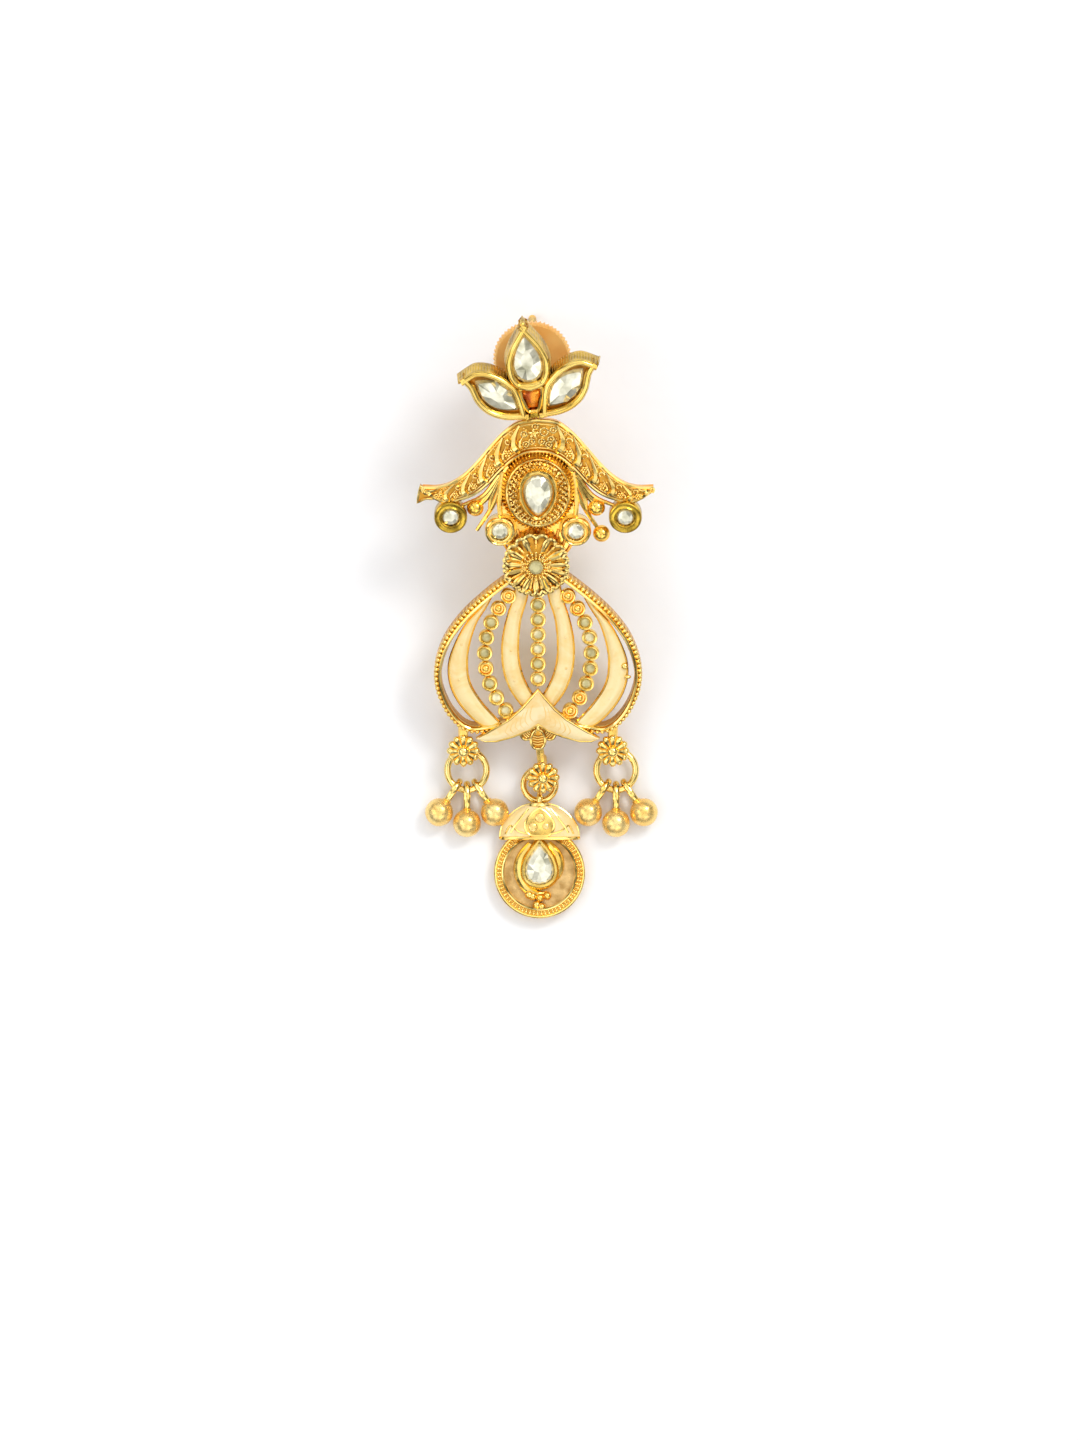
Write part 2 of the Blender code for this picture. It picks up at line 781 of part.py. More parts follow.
def canopy_foot_at(x):
    """Height of the band's lower edge at a distance x from its middle."""
    foot = curve_through([canopy_point(a, b) for a, b in CANOPY_INNER], 8, closed=False)
    for (x0, y0), (x1, y1) in zip(foot, foot[1:]):
        if x1 <= x < x0:
            return y1 + (y0 - y1) * (x - x1) / (x0 - x1)
    return foot[0][1]


def canopy_band():
    """The bell-shaped band, with a wire along its two edges and a curl on its left tip."""
    half = CANOPY_OUTER + CANOPY_INNER
    right = [canopy_point(a, b) for a, b in half]
    tip = len(CANOPY_OUTER) - 1
    left = [(-x, y) for x, y in reversed(right) if abs(x) > 1e-9]
    points = right + left
    corners = {tip, len(right) + len(CANOPY_INNER) - 1}
    outline = curve_through(points, 2, corners=corners)
    parts = [plate("band", outline, CANOPY_LOW, CANOPY_FACE)]
    for table in (CANOPY_OUTER, CANOPY_INNER):
        edge = [canopy_point(a, b) for a, b in table]
        if table is CANOPY_INNER:
            edge = edge[::-1]
        line = [(-x, y) for x, y in reversed(edge) if x > 1e-9] + edge
        line = inset_line(line, BORDER_WIRE)
        parts.append(tube("border", [(x, y, CANOPY_FACE) for x, y in line], BORDER_WIRE))
    x, y = canopy_point(0.985, 0.875, -1)
    curl = hoop("curl", CANOPY_SPAN * 0.028, BORDER_WIRE * 1.5, 12)
    parts.append(placed(curl, (x, y, CANOPY_FACE - BORDER_WIRE)))
    return parts


def inset_line(points, distance):
    """The canopy's upper or lower edge moved into the band."""
    upper = points[len(points) // 2][1] > CANOPY_TOP - CANOPY_DROP * 0.2
    move = -distance if upper else distance
    return [(x * 0.985, y + move) for x, y in points]


def bezel(name, radius, place):
    stone = radius * BEZEL_STONE_SHARE + SEAT_GAP
    seat = (BEZEL_LOW + BEZEL_TOP) / 2
    profile = [
        (stone * 0.5, BEZEL_LOW),
        (radius, BEZEL_LOW),
        (radius, BEZEL_TOP - radius * 0.1),
        (radius * 0.88, BEZEL_TOP),
        (stone, seat + radius * 0.2),
        (stone, seat),
        (stone * 0.5, seat),
    ]
    return placed(turned(name, profile, BEZEL_SIDES), place)


def medallion_stone_outline(margin):
    """A pear with its tip down."""
    outline = pear(MEDALLION_STONE_WIDTH + margin, MEDALLION_STONE_LENGTH + margin, 12)
    return [(x, -y) for x, y in reversed(outline)]


def medallion():
    """A stepped oval drum with an oval setting for the pear stone."""
    hole = MEDALLION_STONE_WIDTH * 0.25
    top = MEDALLION_TOP
    radius = MEDALLION_HALF_WIDTH
    profile = [
        (hole, BEZEL_LOW),
        (radius * 0.93, BEZEL_LOW),
        (radius, BEZEL_LOW + radius * 0.08),
        (radius, top * 0.66),
        (radius * 0.93, top * 0.80),
        (radius * 0.87, top * 0.72),
        (radius * 0.80, top * 0.93),
        (radius * 0.66, top),
        (radius * 0.50, top * 0.92),
        (hole, top * 0.92),
    ]
    stretch = (1, MEDALLION_HALF_HEIGHT / MEDALLION_HALF_WIDTH, 1)
    drum = placed(turned("drum", profile, MEDALLION_SIDES), (0, CANOPY_TOP - MEDALLION_BELOW, 0), scale=stretch)
    across = MEDALLION_STONE_WIDTH / 2 + MEDALLION_SETTING_WALL
    along = MEDALLION_STONE_LENGTH / 2 + MEDALLION_SETTING_WALL
    ring = [(x * across, y * along) for x, y in circle(1, MEDALLION_SIDES)]
    well = medallion_stone_outline(2 * SEAT_GAP)
    setting = placed(plate("setting", ring, top * 0.5, MEDALLION_SETTING_TOP), (0, CANOPY_TOP - MEDALLION_BELOW, 0))
    cutter = placed(plate("well", well, top * 0.75, top * 2), (0, CANOPY_TOP - MEDALLION_BELOW, 0))
    return cut("medallion", fused("medallion", [drum, setting]), [cutter])


def stem(table, side, end=None):
    points = [canopy_point(a, b, side) for a, b in table]
    if end:
        points[-1] = end
    line = curve_through([(x, y, BALL_Z) for x, y in points], 2, closed=False)
    return tube("stem", line, STEM_WIRE)


def canopy_parts():
    parts = canopy_band()
    parts.append(medallion())
    parts += [bezel(name, radius, place) for name, radius, place in bezel_rows()]
    for side in (-1, 1):
        parts.append(stem(BEZEL_STEM, side))
        parts.append(stem(BALL_STEM, side, canopy_point(*BALL_PLACES["left" if side < 0 else "right"])))
    parts.append(stem(LOW_BALL_STEM, 1, canopy_point(*BALL_PLACES["low"])))
    parts.append(stem(LOW_BALL_STEM, -1))
    for place in BALL_PLACES.values():
        parts.append(placed(ball("ball", BALL_RADIUS), (*canopy_point(*place), BALL_Z)))
    skirt = [canopy_point(a, b) for a, b in SKIRT_OUTLINE]
    outline = skirt + [(-x, y) for x, y in reversed(skirt)]
    parts.append(plate("skirt", outline, CANOPY_LOW + BEZEL_LOW / 2, CANOPY_FACE * 0.7))
    return parts


def daisy(name, x, y, low):
    """A thick fluted daisy with a ball at its middle."""
    high = low + DAISY_THICKNESS
    petals = plate(name, lobed(DAISY_RADIUS, 0.78, DAISY_PETALS), low, high)
    middle = placed(ball(name, DAISY_RADIUS * 0.30, 8, 6), (0, 0, high))
    return [placed(part, (x, y, 0)) for part in (petals, middle)]


def bail(name, x, y, z):
    """A thick upright ring behind a daisy."""
    return placed(hoop(name, BAIL_RADIUS, BAIL_WIRE, 14, WIRE_SIDES, upright=True), (x, y, z))


def palmette_parts():
    """Three small lobes under the leaf's notch."""
    lobe = DAISY_RADIUS * 0.42
    parts = []
    for side in (-1, 1):
        flat = placed(ball("lobe", lobe, 8, 6), scale=(1, 1.3, 1.3))
        parts.append(placed(flat, (side * lobe * 1.5, lobe * 1.1, RIM_DEPTH * 0.8), turn=side * 0.45))
    drop = placed(ball("drop", lobe, 8, 6), scale=(1.05, 2.6, 1.4))
    parts.append(placed(drop, (0, lobe * 0.1, RIM_DEPTH * 0.75)))
    return parts


def lean_angle():
    """How far the drop leans: the post's tip and the side bails both touch the surface."""
    _, post_y = stud_to_drop(POST_X, POST_Y)
    run = post_y - POST_RADIUS - SIDE_BAIL_Y
    fall = -POST_LENGTH - SIDE_BAIL_Z
    reach = math.hypot(run, fall)
    return -math.atan2(fall, run) - math.asin((BAIL_RADIUS + BAIL_WIRE) / reach)


def centre_bail_z():
    """The middle bail's height behind the daisy, at which it touches the surface too."""
    return SIDE_BAIL_Z + math.tan(lean_angle()) * (SIDE_BAIL_Y - CENTRE_BAIL_Y)


def daisy_parts():
    side_low = SIDE_BAIL_Z + BAIL_RADIUS
    centre_low = centre_bail_z() + BAIL_RADIUS
    parts = []
    half = BULB_WIDTH / 2
    for side in (-1, 1):
        x = side * SIDE_DAISY_X
        parts += daisy("side_daisy", x, SIDE_DAISY_Y, side_low)
        parts.append(bail("side_bail", x, SIDE_BAIL_Y, SIDE_BAIL_Z))
        root = (side * half * 0.72, BULB_HEIGHT * 0.095, RIM_DEPTH * 0.5)
        end = (x, SIDE_DAISY_Y, side_low + BAIL_WIRE)
        parts.append(tube("arm", [root, end], BAIL_WIRE * 1.3))
    parts += daisy("centre_daisy", CENTRE_DAISY_X, CENTRE_DAISY_Y, centre_low)
    parts.append(bail("centre_bail", CENTRE_DAISY_X, CENTRE_BAIL_Y, centre_bail_z()))
    root = (0, BULB_HEIGHT * 0.03, RIM_DEPTH * 0.7)
    end = (CENTRE_DAISY_X, CENTRE_DAISY_Y, centre_low + BAIL_WIRE)
    parts.append(tube("arm", [root, end], BAIL_WIRE * 1.2))
    return parts


def canopy_eye_place():
    x, _ = stud_to_drop(0, STUD_EYE_Y)
    return (x / 2, CANOPY_TOP - CANOPY_EYE_DROP, -CHAIN_DEPTH)


def chain_eye(name, place):
    return placed(hoop(name, EYE_RADIUS, EYE_WIRE, 12, WIRE_SIDES, upright=True), place)


def bezel_rows():
    """For each bezel: its name's end, its radius and its place."""
    rows = []
    for side, hand in ((-1, "left"), (1, "right")):
        hang = canopy_foot_at(OUTER_BEZEL_X) + OUTER_BEZEL_LAP - OUTER_BEZEL_RADIUS
        outer = (side * OUTER_BEZEL_X, hang, 0)
        inner = (side * INNER_BEZEL_X, CANOPY_TOP - INNER_BEZEL_BELOW, 0)
        rows.append((f"{hand}_outer", OUTER_BEZEL_RADIUS, outer))
        rows.append((f"{hand}_inner", INNER_BEZEL_RADIUS, inner))
    return rows


def main_frame():
    """Canopy, rosette, bulb, daisies and bails, soldered into one piece with its bezels kept open."""
    parts = bulb_parts() + rosette_parts() + canopy_parts() + palmette_parts() + daisy_parts()
    parts.append(chain_eye("canopy_eye", canopy_eye_place()))
    seat = (BEZEL_LOW + BEZEL_TOP) / 2 + SEAT_GAP / 2
    wells = []
    for name, radius, place in bezel_rows():
        well = cylinder(name, radius * BEZEL_STONE_SHARE + SEAT_GAP / 2, seat, BEZEL_TOP * 2, 20)
        wells.append(placed(well, place))
    return cut("main_frame", fused("main_frame", parts), wells)


def main_stones():
    stones = {}
    low = MEDALLION_TOP * 0.75 + SEAT_GAP
    made = cut_stone("stone_medallion", medallion_stone_outline(0), low, MEDALLION_SETTING_TOP)
    stones["stone_medallion"] = placed(made, (0, CANOPY_TOP - MEDALLION_BELOW, 0))
    seat = (BEZEL_LOW + BEZEL_TOP) / 2 + SEAT_GAP
    for name, radius, place in bezel_rows():
        name = f"stone_bezel_{name}"
        made = cut_stone(name, circle(radius * BEZEL_STONE_SHARE, 10), seat, BEZEL_TOP)
        stones[name] = placed(made, place)
    base = ROSETTE_INNER_TOP + SEAT_GAP
    made = cut_stone("stone_rosette", circle(ROSETTE_STONE_RADIUS, 10), base, ROSETTE_CUP_TOP + SEAT_GAP)
    stones["stone_rosette"] = placed(made, rosette_place())
    return stones


# Stud and nut


def stud_origin():
    """The flower's middle, in the main drop's frame."""
    return Vector((STUD_X, CANOPY_TOP + STUD_GAP + FLOWER_FOOT, 0))


def stud_to_drop(x, y):
    """A place on the flower, in the main drop's frame."""
    spot = Matrix.Rotation(STUD_TURN, 4, "Z") @ Vector((x, y, 0)) + stud_origin()
    return spot.x, spot.y


def top_petal_outline(margin=0.0):
    half = scaled(TOP_PETAL, PETAL_HALF_WIDTH, PETAL_HEIGHT)
    return curve_through(inset(mirrored(half), margin), 2, corners={0})


def leaf_petal_outline(side, margin=0.0):
    points = scaled(LEAF_PETAL, LEAF_PETAL_REACH * side, LEAF_PETAL_REACH)
    tip = 7
    return curve_through(inset(points, margin), 2, corners={0, tip})


def heart_outline():
    half = scaled(HEART_CELL, LEAF_PETAL_REACH, LEAF_PETAL_REACH)
    return half + [(-x, y) for x, y in reversed(half) if x > 1e-9]


def foot_outline():
    reach = LEAF_PETAL_REACH
    return [
        (-0.32 * reach, 0.24 * reach),
        (0.32 * reach, 0.24 * reach),
        (0.34 * reach, -0.24 * reach),
        (0.20 * reach, -FLOWER_FOOT * 0.97),
        (0, -FLOWER_FOOT),
        (-0.20 * reach, -FLOWER_FOOT * 0.97),
        (-0.34 * reach, -0.24 * reach),
    ]


def stone_slot(name, place, turn, width, length):
    """A small opening through the flower's back behind a stone."""
    slot = plate(name, marquise(width * 0.4, length * 0.5, 8), -FLOWER_DEPTH, FLOWER_DEPTH)
    return placed(slot, (*place, 0), turn=turn)


def stud_flower():
    """The flower head with its stone cells, collar, post and eye, in its own frame."""
    solids = [plate("foot", foot_outline(), 0, FLOWER_DEPTH * 0.93)]
    cutters = []
    for margin, low, high, kept in (
        (0.0, 0, FLOWER_DEPTH, solids),
        (FLOWER_WALL, FLOWER_SEAT, FLOWER_DEPTH * 2, cutters),
    ):
        outlines = [top_petal_outline(margin)]
        outlines += [leaf_petal_outline(side, margin) for side in (-1, 1)]
        kept += [plate("petal", outline, low, high) for outline in outlines]
    cutters.append(plate("cell", heart_outline(), FLOWER_SEAT, FLOWER_DEPTH * 2))
    cutters.append(stone_slot("slot", (0, TOP_STONE_Y * 1.2), 0, TOP_STONE_WIDTH, TOP_STONE_LENGTH))
    for side in (-1, 1):
        place = (side * SIDE_STONE_X, SIDE_STONE_Y)
        turn = -side * SIDE_STONE_TILT
        cutters.append(stone_slot("slot", place, turn, SIDE_STONE_WIDTH, SIDE_STONE_LENGTH))
    head = cut("head", fused("head", solids), cutters)
    post = [
        (0, -POST_LENGTH),
        (POST_RADIUS, -POST_LENGTH),
        (POST_RADIUS, -COLLAR_HEIGHT),
        (COLLAR_RADIUS, -COLLAR_HEIGHT),
        (COLLAR_RADIUS, SEAT_GAP * 2),
        (0, SEAT_GAP * 2),
    ]
    post = placed(turned("post", post, 12), (POST_X, POST_Y, 0))
    eye = chain_eye("stud_eye", (0, STUD_EYE_Y, -CHAIN_DEPTH))
    return fused("stud_flower", [head, post, eye])


def stud_stones():
    low, high = FLOWER_SEAT + SEAT_GAP, FLOWER_DEPTH
    top = cut_stone("stone_petal_top", pear(TOP_STONE_WIDTH, TOP_STONE_LENGTH, 12), low, high)
    stones = {"stone_petal_top": placed(top, (0, TOP_STONE_Y, 0))}
    for side, hand in ((-1, "left"), (1, "right")):
        name = f"stone_petal_{hand}"
        stone = cut_stone(name, marquise(SIDE_STONE_WIDTH, SIDE_STONE_LENGTH, 12), low, high)
        place = (side * SIDE_STONE_X, SIDE_STONE_Y, 0)
        stones[name] = placed(stone, place, turn=-side * SIDE_STONE_TILT)
    heart = inset(heart_outline(), SEAT_GAP)
    stones["heart_fill"] = plate("heart_fill", heart, low, FLOWER_DEPTH * 0.8)
    return stones


def screw_nut():
    """A disc with a tapered sleeve, bored for the post, in the stud's frame."""
    face, back = -NUT_GAP, -NUT_GAP - NUT_THICKNESS
    end = back - NUT_SLEEVE_LENGTH
    chamfer = NUT_THICKNESS * 0.12
    profile = [
        (NUT_BORE, end),
        (NUT_SLEEVE_END, end),
        (NUT_SLEEVE_FOOT, back),
        (NUT_RADIUS - chamfer, back),
        (NUT_RADIUS, back + chamfer),
        (NUT_RADIUS, face - chamfer),
        (NUT_RADIUS - chamfer, face),
        (NUT_BORE, face),
    ]
    return placed(turned("screw_nut", profile, NUT_SIDES), (POST_X, POST_Y, 0))


# Chain, rings and beads


def oval_link(name, centre, along, across, length):
    """An oval link: its middle, the way it runs, the way it is wide, and its length between end wires."""
    half = (CHAIN_LINK_WIDTH - 2 * CHAIN_WIRE) / 2
    straight = length / 2 - half
    points = []
    for end in (1, -1):
        for i in range(5):
            angle = math.pi * i / 4
            offset = along * end * (straight + half * math.sin(angle))
            points.append(centre + offset + across * end * half * math.cos(angle))
    return tube(name, [tuple(point) for point in points], CHAIN_WIRE, closed=True)


def chain_links():
    """Three links between the canopy's eye and the flower's, each turned a quarter to the next."""
    start = Vector(canopy_eye_place())
    end = Vector((*stud_to_drop(0, STUD_EYE_Y), -CHAIN_DEPTH))
    along = (end - start).normalized()
    hold = EYE_WIRE + CHAIN_WIRE + LINK_GAP
    first = start + along * (EYE_RADIUS - hold)
    last = end - along * (EYE_RADIUS - hold)
    overlap = 2 * CHAIN_WIRE + LINK_GAP
    length = ((last - first).length + 2 * overlap) / 3
    flat = along.cross(Vector((0, 0, 1)))
    links = {}
    for i, where in enumerate(("bottom", "middle", "top")):
        centre = first + along * (length / 2 + i * (length - overlap))
        across = Vector((0, 0, 1)) if i == 1 else flat
        name = f"chain_link_{where}"
        links[name] = oval_link(name, centre, along, across, length)
    return links


def eyed_bead(name, direction, reach, ring_centre):
    """A bead with its wire eye, which goes round the ring's wire; it lies on the surface."""
    out = Vector((math.sin(direction), -math.cos(direction), 0))
    lift = Vector((0, 0, BEAD_RADIUS - RING_HEIGHT))
    body = placed(ball(name, BEAD_RADIUS, 12, 8), (ring_centre + lift + out * reach)[:])
    near = SIDE_RING_RADIUS - SIDE_RING_WIRE - LINK_GAP - BEAD_EYE_WIRE
    far = reach - BEAD_RADIUS + BEAD_EYE_ROOT
    middle, half = (near + far) / 2, (far - near) / 2
    points = []
    steps = 12
    for i in range(steps):
        angle = 2 * math.pi * i / steps
        along = middle + half * math.cos(angle)
        points.append(ring_centre + out * along + Vector((0, 0, BEAD_EYE_WIDTH * math.sin(angle))))
    eye = tube("eye", [tuple(point) for point in points], BEAD_EYE_WIRE, closed=True)
    return fused(name, [body, eye])


def bead_cluster(hand, ring_centre):
    """Three beads on a side ring, which lie on the surface round it."""
    beads = {}
    for i, where in enumerate(("left", "middle", "right")):
        name = f"bead_{hand}_{where}"
        reach = MIDDLE_BEAD_REACH if i == 1 else BEAD_REACH
        beads[name] = eyed_bead(name, (i - 1) * BEAD_SPREAD, reach, ring_centre)
    return beads


def resting_matrix():
    """From the main drop's frame to the surface it rests on."""
    lean = lean_angle()
    lowest = SIDE_BAIL_Y * math.sin(lean) + SIDE_BAIL_Z * math.cos(lean)
    lift = BAIL_RADIUS + BAIL_WIRE - lowest
    return Matrix.Translation((0, 0, lift)) @ Matrix.Rotation(lean, 4, "X")


def hanging_rings():
    """The three rings lie flat: each passes through its bail."""
    left = resting_matrix() @ Vector((-SIDE_DAISY_X, SIDE_BAIL_Y, SIDE_BAIL_Z))
    right = resting_matrix() @ Vector((SIDE_DAISY_X, SIDE_BAIL_Y, SIDE_BAIL_Z))
    middle = resting_matrix() @ Vector((CENTRE_DAISY_X, CENTRE_BAIL_Y, centre_bail_z()))
    rings = {}
    for hand, hold, shift, radius, wire in (
        ("left", left, SIDE_RING_SHIFT, SIDE_RING_RADIUS, SIDE_RING_WIRE),
        ("right", right, SIDE_RING_SHIFT, SIDE_RING_RADIUS, SIDE_RING_WIRE),
        ("centre", middle, CENTRE_RING_SHIFT, CENTRE_RING_RADIUS, CENTRE_RING_WIRE),
    ):
        centre = Vector((hold.x + shift, hold.y - radius, RING_HEIGHT))
        name = f"ring_{hand}"
        rings[name] = (placed(hoop(name, radius, wire), centre), centre)
    return rings


# Pendant


def cap_outline(margin):
    half = scaled(CAP_OUTLINE, CAP_WIDTH / 2, CAP_HEIGHT, y=CAP_FOOT_Y)
    return curve_through(inset(mirrored(half), margin), 2, corners={5, 9})


def pendant_frame():
    """The round pendant: a rimmed disc, a pear setting in a crescent, a cap and an eye."""
    radius, rim, depth = PENDANT_RADIUS, PENDANT_RIM, PENDANT_DEPTH
    inner = radius - rim
    profile = [
        (PENDANT_HOLE, PENDANT_FLOOR_LOW),
        (inner * 0.97, PENDANT_FLOOR_LOW),
        (inner + rim * 0.2, 0),
        (radius - rim * 0.35, 0),
        (radius, depth * 0.25),
        (radius, depth * 0.75),
        (radius - rim * 0.30, depth * 0.97),
        (radius - rim * 0.50, depth * 0.88),
        (radius - rim * 0.70, depth),
        (inner, depth * 0.85),
        (inner * 0.99, PENDANT_FLOOR_TOP),
        (PENDANT_HOLE, PENDANT_FLOOR_TOP),
    ]
    parts = [turned("disc", profile, PENDANT_SIDES)]
    stone = pear(PENDANT_STONE_WIDTH + 2 * SEAT_GAP, PENDANT_STONE_LENGTH + 2 * SEAT_GAP, 12)
    setting = plate("setting", inset(stone, -PENDANT_SETTING_WALL), PENDANT_FLOOR_LOW, PENDANT_SETTING_TOP)
    parts.append(placed(setting, (0, PENDANT_STONE_Y, 0)))
    crescent = []
    for i in range(11):
        angle = math.pi * (1.0 + i / 10)
        x = PENDANT_STONE_WIDTH * 0.80 * math.cos(angle)
        y = PENDANT_STONE_Y + PENDANT_STONE_LENGTH * 0.72 * math.sin(angle)
        crescent.append((x, y, PENDANT_FLOOR_TOP + CRESCENT_WIRE * 0.5))
    parts.append(tube("crescent", crescent, CRESCENT_WIRE))
    for x, y in scaled(PENDANT_GRANULES, radius, radius):
        granule = ball("granule", GRANULE_RADIUS, 8, 6)
        parts.append(placed(granule, (x, y, PENDANT_FLOOR_TOP + GRANULE_RADIUS * 0.7)))
    whole = plate("cap", cap_outline(0), CAP_LOW, CAP_TOP)
    tray = plate("tray", cap_outline(CAP_EDGE_WALL), CAP_TOP - CAP_TRAY_DEPTH, CAP_TOP * 2)
    parts.append(cut("cap", whole, [tray]))
    eye = hoop("eye", PENDANT_EYE_RADIUS, PENDANT_EYE_WIRE, 12, WIRE_SIDES, upright=True)
    parts.append(placed(eye, (0, PENDANT_EYE_Y, RING_HEIGHT)))
    well = plate("well", stone, PENDANT_STONE_SEAT, PENDANT_DEPTH * 2)
    hole = placed(cylinder("hole", PENDANT_HOLE, -PENDANT_DEPTH, PENDANT_DEPTH), (0, -PENDANT_STONE_Y, 0))
    cutters = [placed(well, (0, PENDANT_STONE_Y, 0)), placed(hole, (0, PENDANT_STONE_Y, 0))]
    return cut("pendant_frame", fused("pendant_frame", parts), cutters)


def pendant_fills():
    outline = pear(PENDANT_STONE_WIDTH, PENDANT_STONE_LENGTH, 12)
    low = PENDANT_STONE_SEAT + SEAT_GAP
    stone = cut_stone("stone_pendant", outline, low, PENDANT_SETTING_TOP + SEAT_GAP)
    fills = {"stone_pendant": placed(stone, (0, PENDANT_STONE_Y, 0))}
    edge = CAP_EDGE_WALL + SEAT_GAP
    base = CAP_TOP - CAP_TRAY_DEPTH + SEAT_GAP
    fills["enamel_cap"] = plate("enamel_cap", cap_outline(edge), base, CAP_TOP + SEAT_GAP)
    return fills


# Assembly


def empty(name, parent, matrix):
    made = bpy.data.objects.new(name, None)
    bpy.context.scene.collection.objects.link(made)
    made.parent = parent
    made.matrix_local = matrix
    return made


def finish(collection, obj, name, parent, look):
    """Names a finished part, parents it and gives it its material."""
    obj.name = name
    obj.data.name = name
    bpy.context.scene.collection.objects.unlink(obj)
    collection.objects.link(obj)
    obj.parent = parent
    obj.data.materials.clear()
    obj.data.materials.append(look)
    obj.data.shade_smooth()
    obj.data.set_sharp_from_angle(angle=math.radians(35))


def centre_on_origin(root, objects):
    """Moves everything so that the origin is at the middle of the base."""
    bpy.context.view_layer.update()
    corners = [obj.matrix_world @ Vector(corner) for obj in objects for corner in obj.bound_box]
    vertices = [obj.matrix_world @ vertex.co for obj in objects for vertex in obj.data.vertices]
    if not corners:
        return
    low = [min(v[i] for v in vertices) for i in range(3)]
    high = [max(v[i] for v in vertices) for i in range(3)]
    root.location = (-(low[0] + high[0]) / 2, -(low[1] + high[1]) / 2, -low[2])
    bpy.context.view_layer.update()


def main():
    clear_scene()
    collection = new_collection("drop_earring")
    gold = material("gilt_metal", GOLD, 0.25, 1.0)
    olive = material("dark_gilt_metal", OLIVE_GOLD, 0.35, 1.0)
    enamel = material("cream_enamel", ENAMEL, 0.3, 0.0)
    crystal = material("clear_stone", CRYSTAL, 0.05, 0.0)
    amber = material("amber_fill", AMBER, 0.2, 0.0)

    resting = empty("resting_frame", None, Matrix.Identity(4))
    drop = empty("main_drop_frame", resting, resting_matrix())
    stud = empty("stud_frame", drop, Matrix.Translation(stud_origin()) @ Matrix.Rotation(STUD_TURN, 4, "Z"))

    rows = [(main_frame(), "main_frame", drop, gold)]
    rows += [(obj, name, drop, enamel) for name, obj in enamel_fills().items()]
    rows += [(obj, name, drop, crystal) for name, obj in main_stones().items()]
    rows += [(obj, name, drop, gold) for name, obj in chain_links().items()]
    rows.append((stud_flower(), "stud_flower", stud, olive))
    for name, obj in stud_stones().items():
        rows.append((obj, name, stud, amber if name == "heart_fill" else crystal))
    rows.append((screw_nut(), "screw_nut", stud, gold))

    rings = hanging_rings()
    for name, (obj, _) in rings.items():
        rows.append((obj, name, resting, gold))
    for hand in ("left", "right"):
        centre = rings[f"ring_{hand}"][1]
        rows += [(obj, name, resting, gold) for name, obj in bead_cluster(hand, centre).items()]

    ring_x, ring_y, _ = rings["ring_centre"][1]
    hang = ring_y - CENTRE_RING_RADIUS - PENDANT_EYE_Y
    pendant = empty("pendant_place", resting, Matrix.Translation((ring_x, hang, 0)))
    rows.append((pendant_frame(), "pendant_frame", pendant, gold))
    for name, obj in pendant_fills().items():
        rows.append((obj, name, pendant, enamel if name == "enamel_cap" else crystal))

    for obj, name, parent, look in rows:
        finish(collection, obj, name, parent, look)
    centre_on_origin(resting, [row[0] for row in rows])


main()
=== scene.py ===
import json
import math
import random

import bpy
from mathutils import Matrix, Vector


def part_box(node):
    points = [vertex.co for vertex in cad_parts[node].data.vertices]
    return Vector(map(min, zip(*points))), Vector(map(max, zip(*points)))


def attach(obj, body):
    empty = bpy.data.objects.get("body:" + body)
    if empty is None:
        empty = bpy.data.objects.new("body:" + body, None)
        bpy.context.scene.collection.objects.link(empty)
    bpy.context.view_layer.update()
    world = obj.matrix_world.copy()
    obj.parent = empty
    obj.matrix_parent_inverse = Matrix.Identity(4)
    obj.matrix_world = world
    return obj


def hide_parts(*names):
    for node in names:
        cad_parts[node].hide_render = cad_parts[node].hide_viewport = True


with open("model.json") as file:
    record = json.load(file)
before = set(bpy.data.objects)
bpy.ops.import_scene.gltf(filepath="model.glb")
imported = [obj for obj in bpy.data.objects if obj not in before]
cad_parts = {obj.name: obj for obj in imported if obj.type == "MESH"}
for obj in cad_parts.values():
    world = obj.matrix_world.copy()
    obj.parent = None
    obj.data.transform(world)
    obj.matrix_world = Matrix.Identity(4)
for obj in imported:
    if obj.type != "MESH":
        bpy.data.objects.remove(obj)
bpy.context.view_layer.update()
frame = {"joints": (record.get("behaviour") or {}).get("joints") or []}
random.seed(7)

# Everything is drawn in millimetres on the flat drop, x right, y up, z out of its face,
# and settle() then lays it in place.
pose = {
    "lean": math.asin(frame["joints"][0]["axis"][1]),  # the nut slides square to the drop's back
    "bulbFoot": (0.19, -12.061, 2.498),
    "studMiddle": (-0.6, 36.57, 0.0),
    "studTurn": math.radians(7),
}
millimetre = Matrix.Scale(0.001, 4)
dropSpace = millimetre @ Matrix.Translation(pose["bulbFoot"]) @ Matrix.Rotation(pose["lean"], 4, "X")
studSpace = dropSpace @ Matrix.Translation(pose["studMiddle"]) @ Matrix.Rotation(pose["studTurn"], 4, "Z")
hands = ((-1, "left"), (1, "right"))


def boxMiddle(node):
    low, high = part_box(node)
    return (low + high) * 500


# Modelling helpers


def pick(*objects):
    bpy.ops.object.select_all(action="DESELECT")
    for obj in objects:
        obj.select_set(True)
    bpy.context.view_layer.objects.active = objects[0]


def inEditMode(obj, *steps):
    pick(obj)
    bpy.ops.object.mode_set(mode="EDIT")
    bpy.ops.mesh.select_all(action="SELECT")
    for step in steps:
        step()
    bpy.ops.object.mode_set(mode="OBJECT")
    return obj


def weld(obj, distance=0.002):
    return inEditMode(
        obj,
        lambda: bpy.ops.mesh.remove_doubles(threshold=distance),
        lambda: bpy.ops.mesh.normals_make_consistent(inside=False),
    )


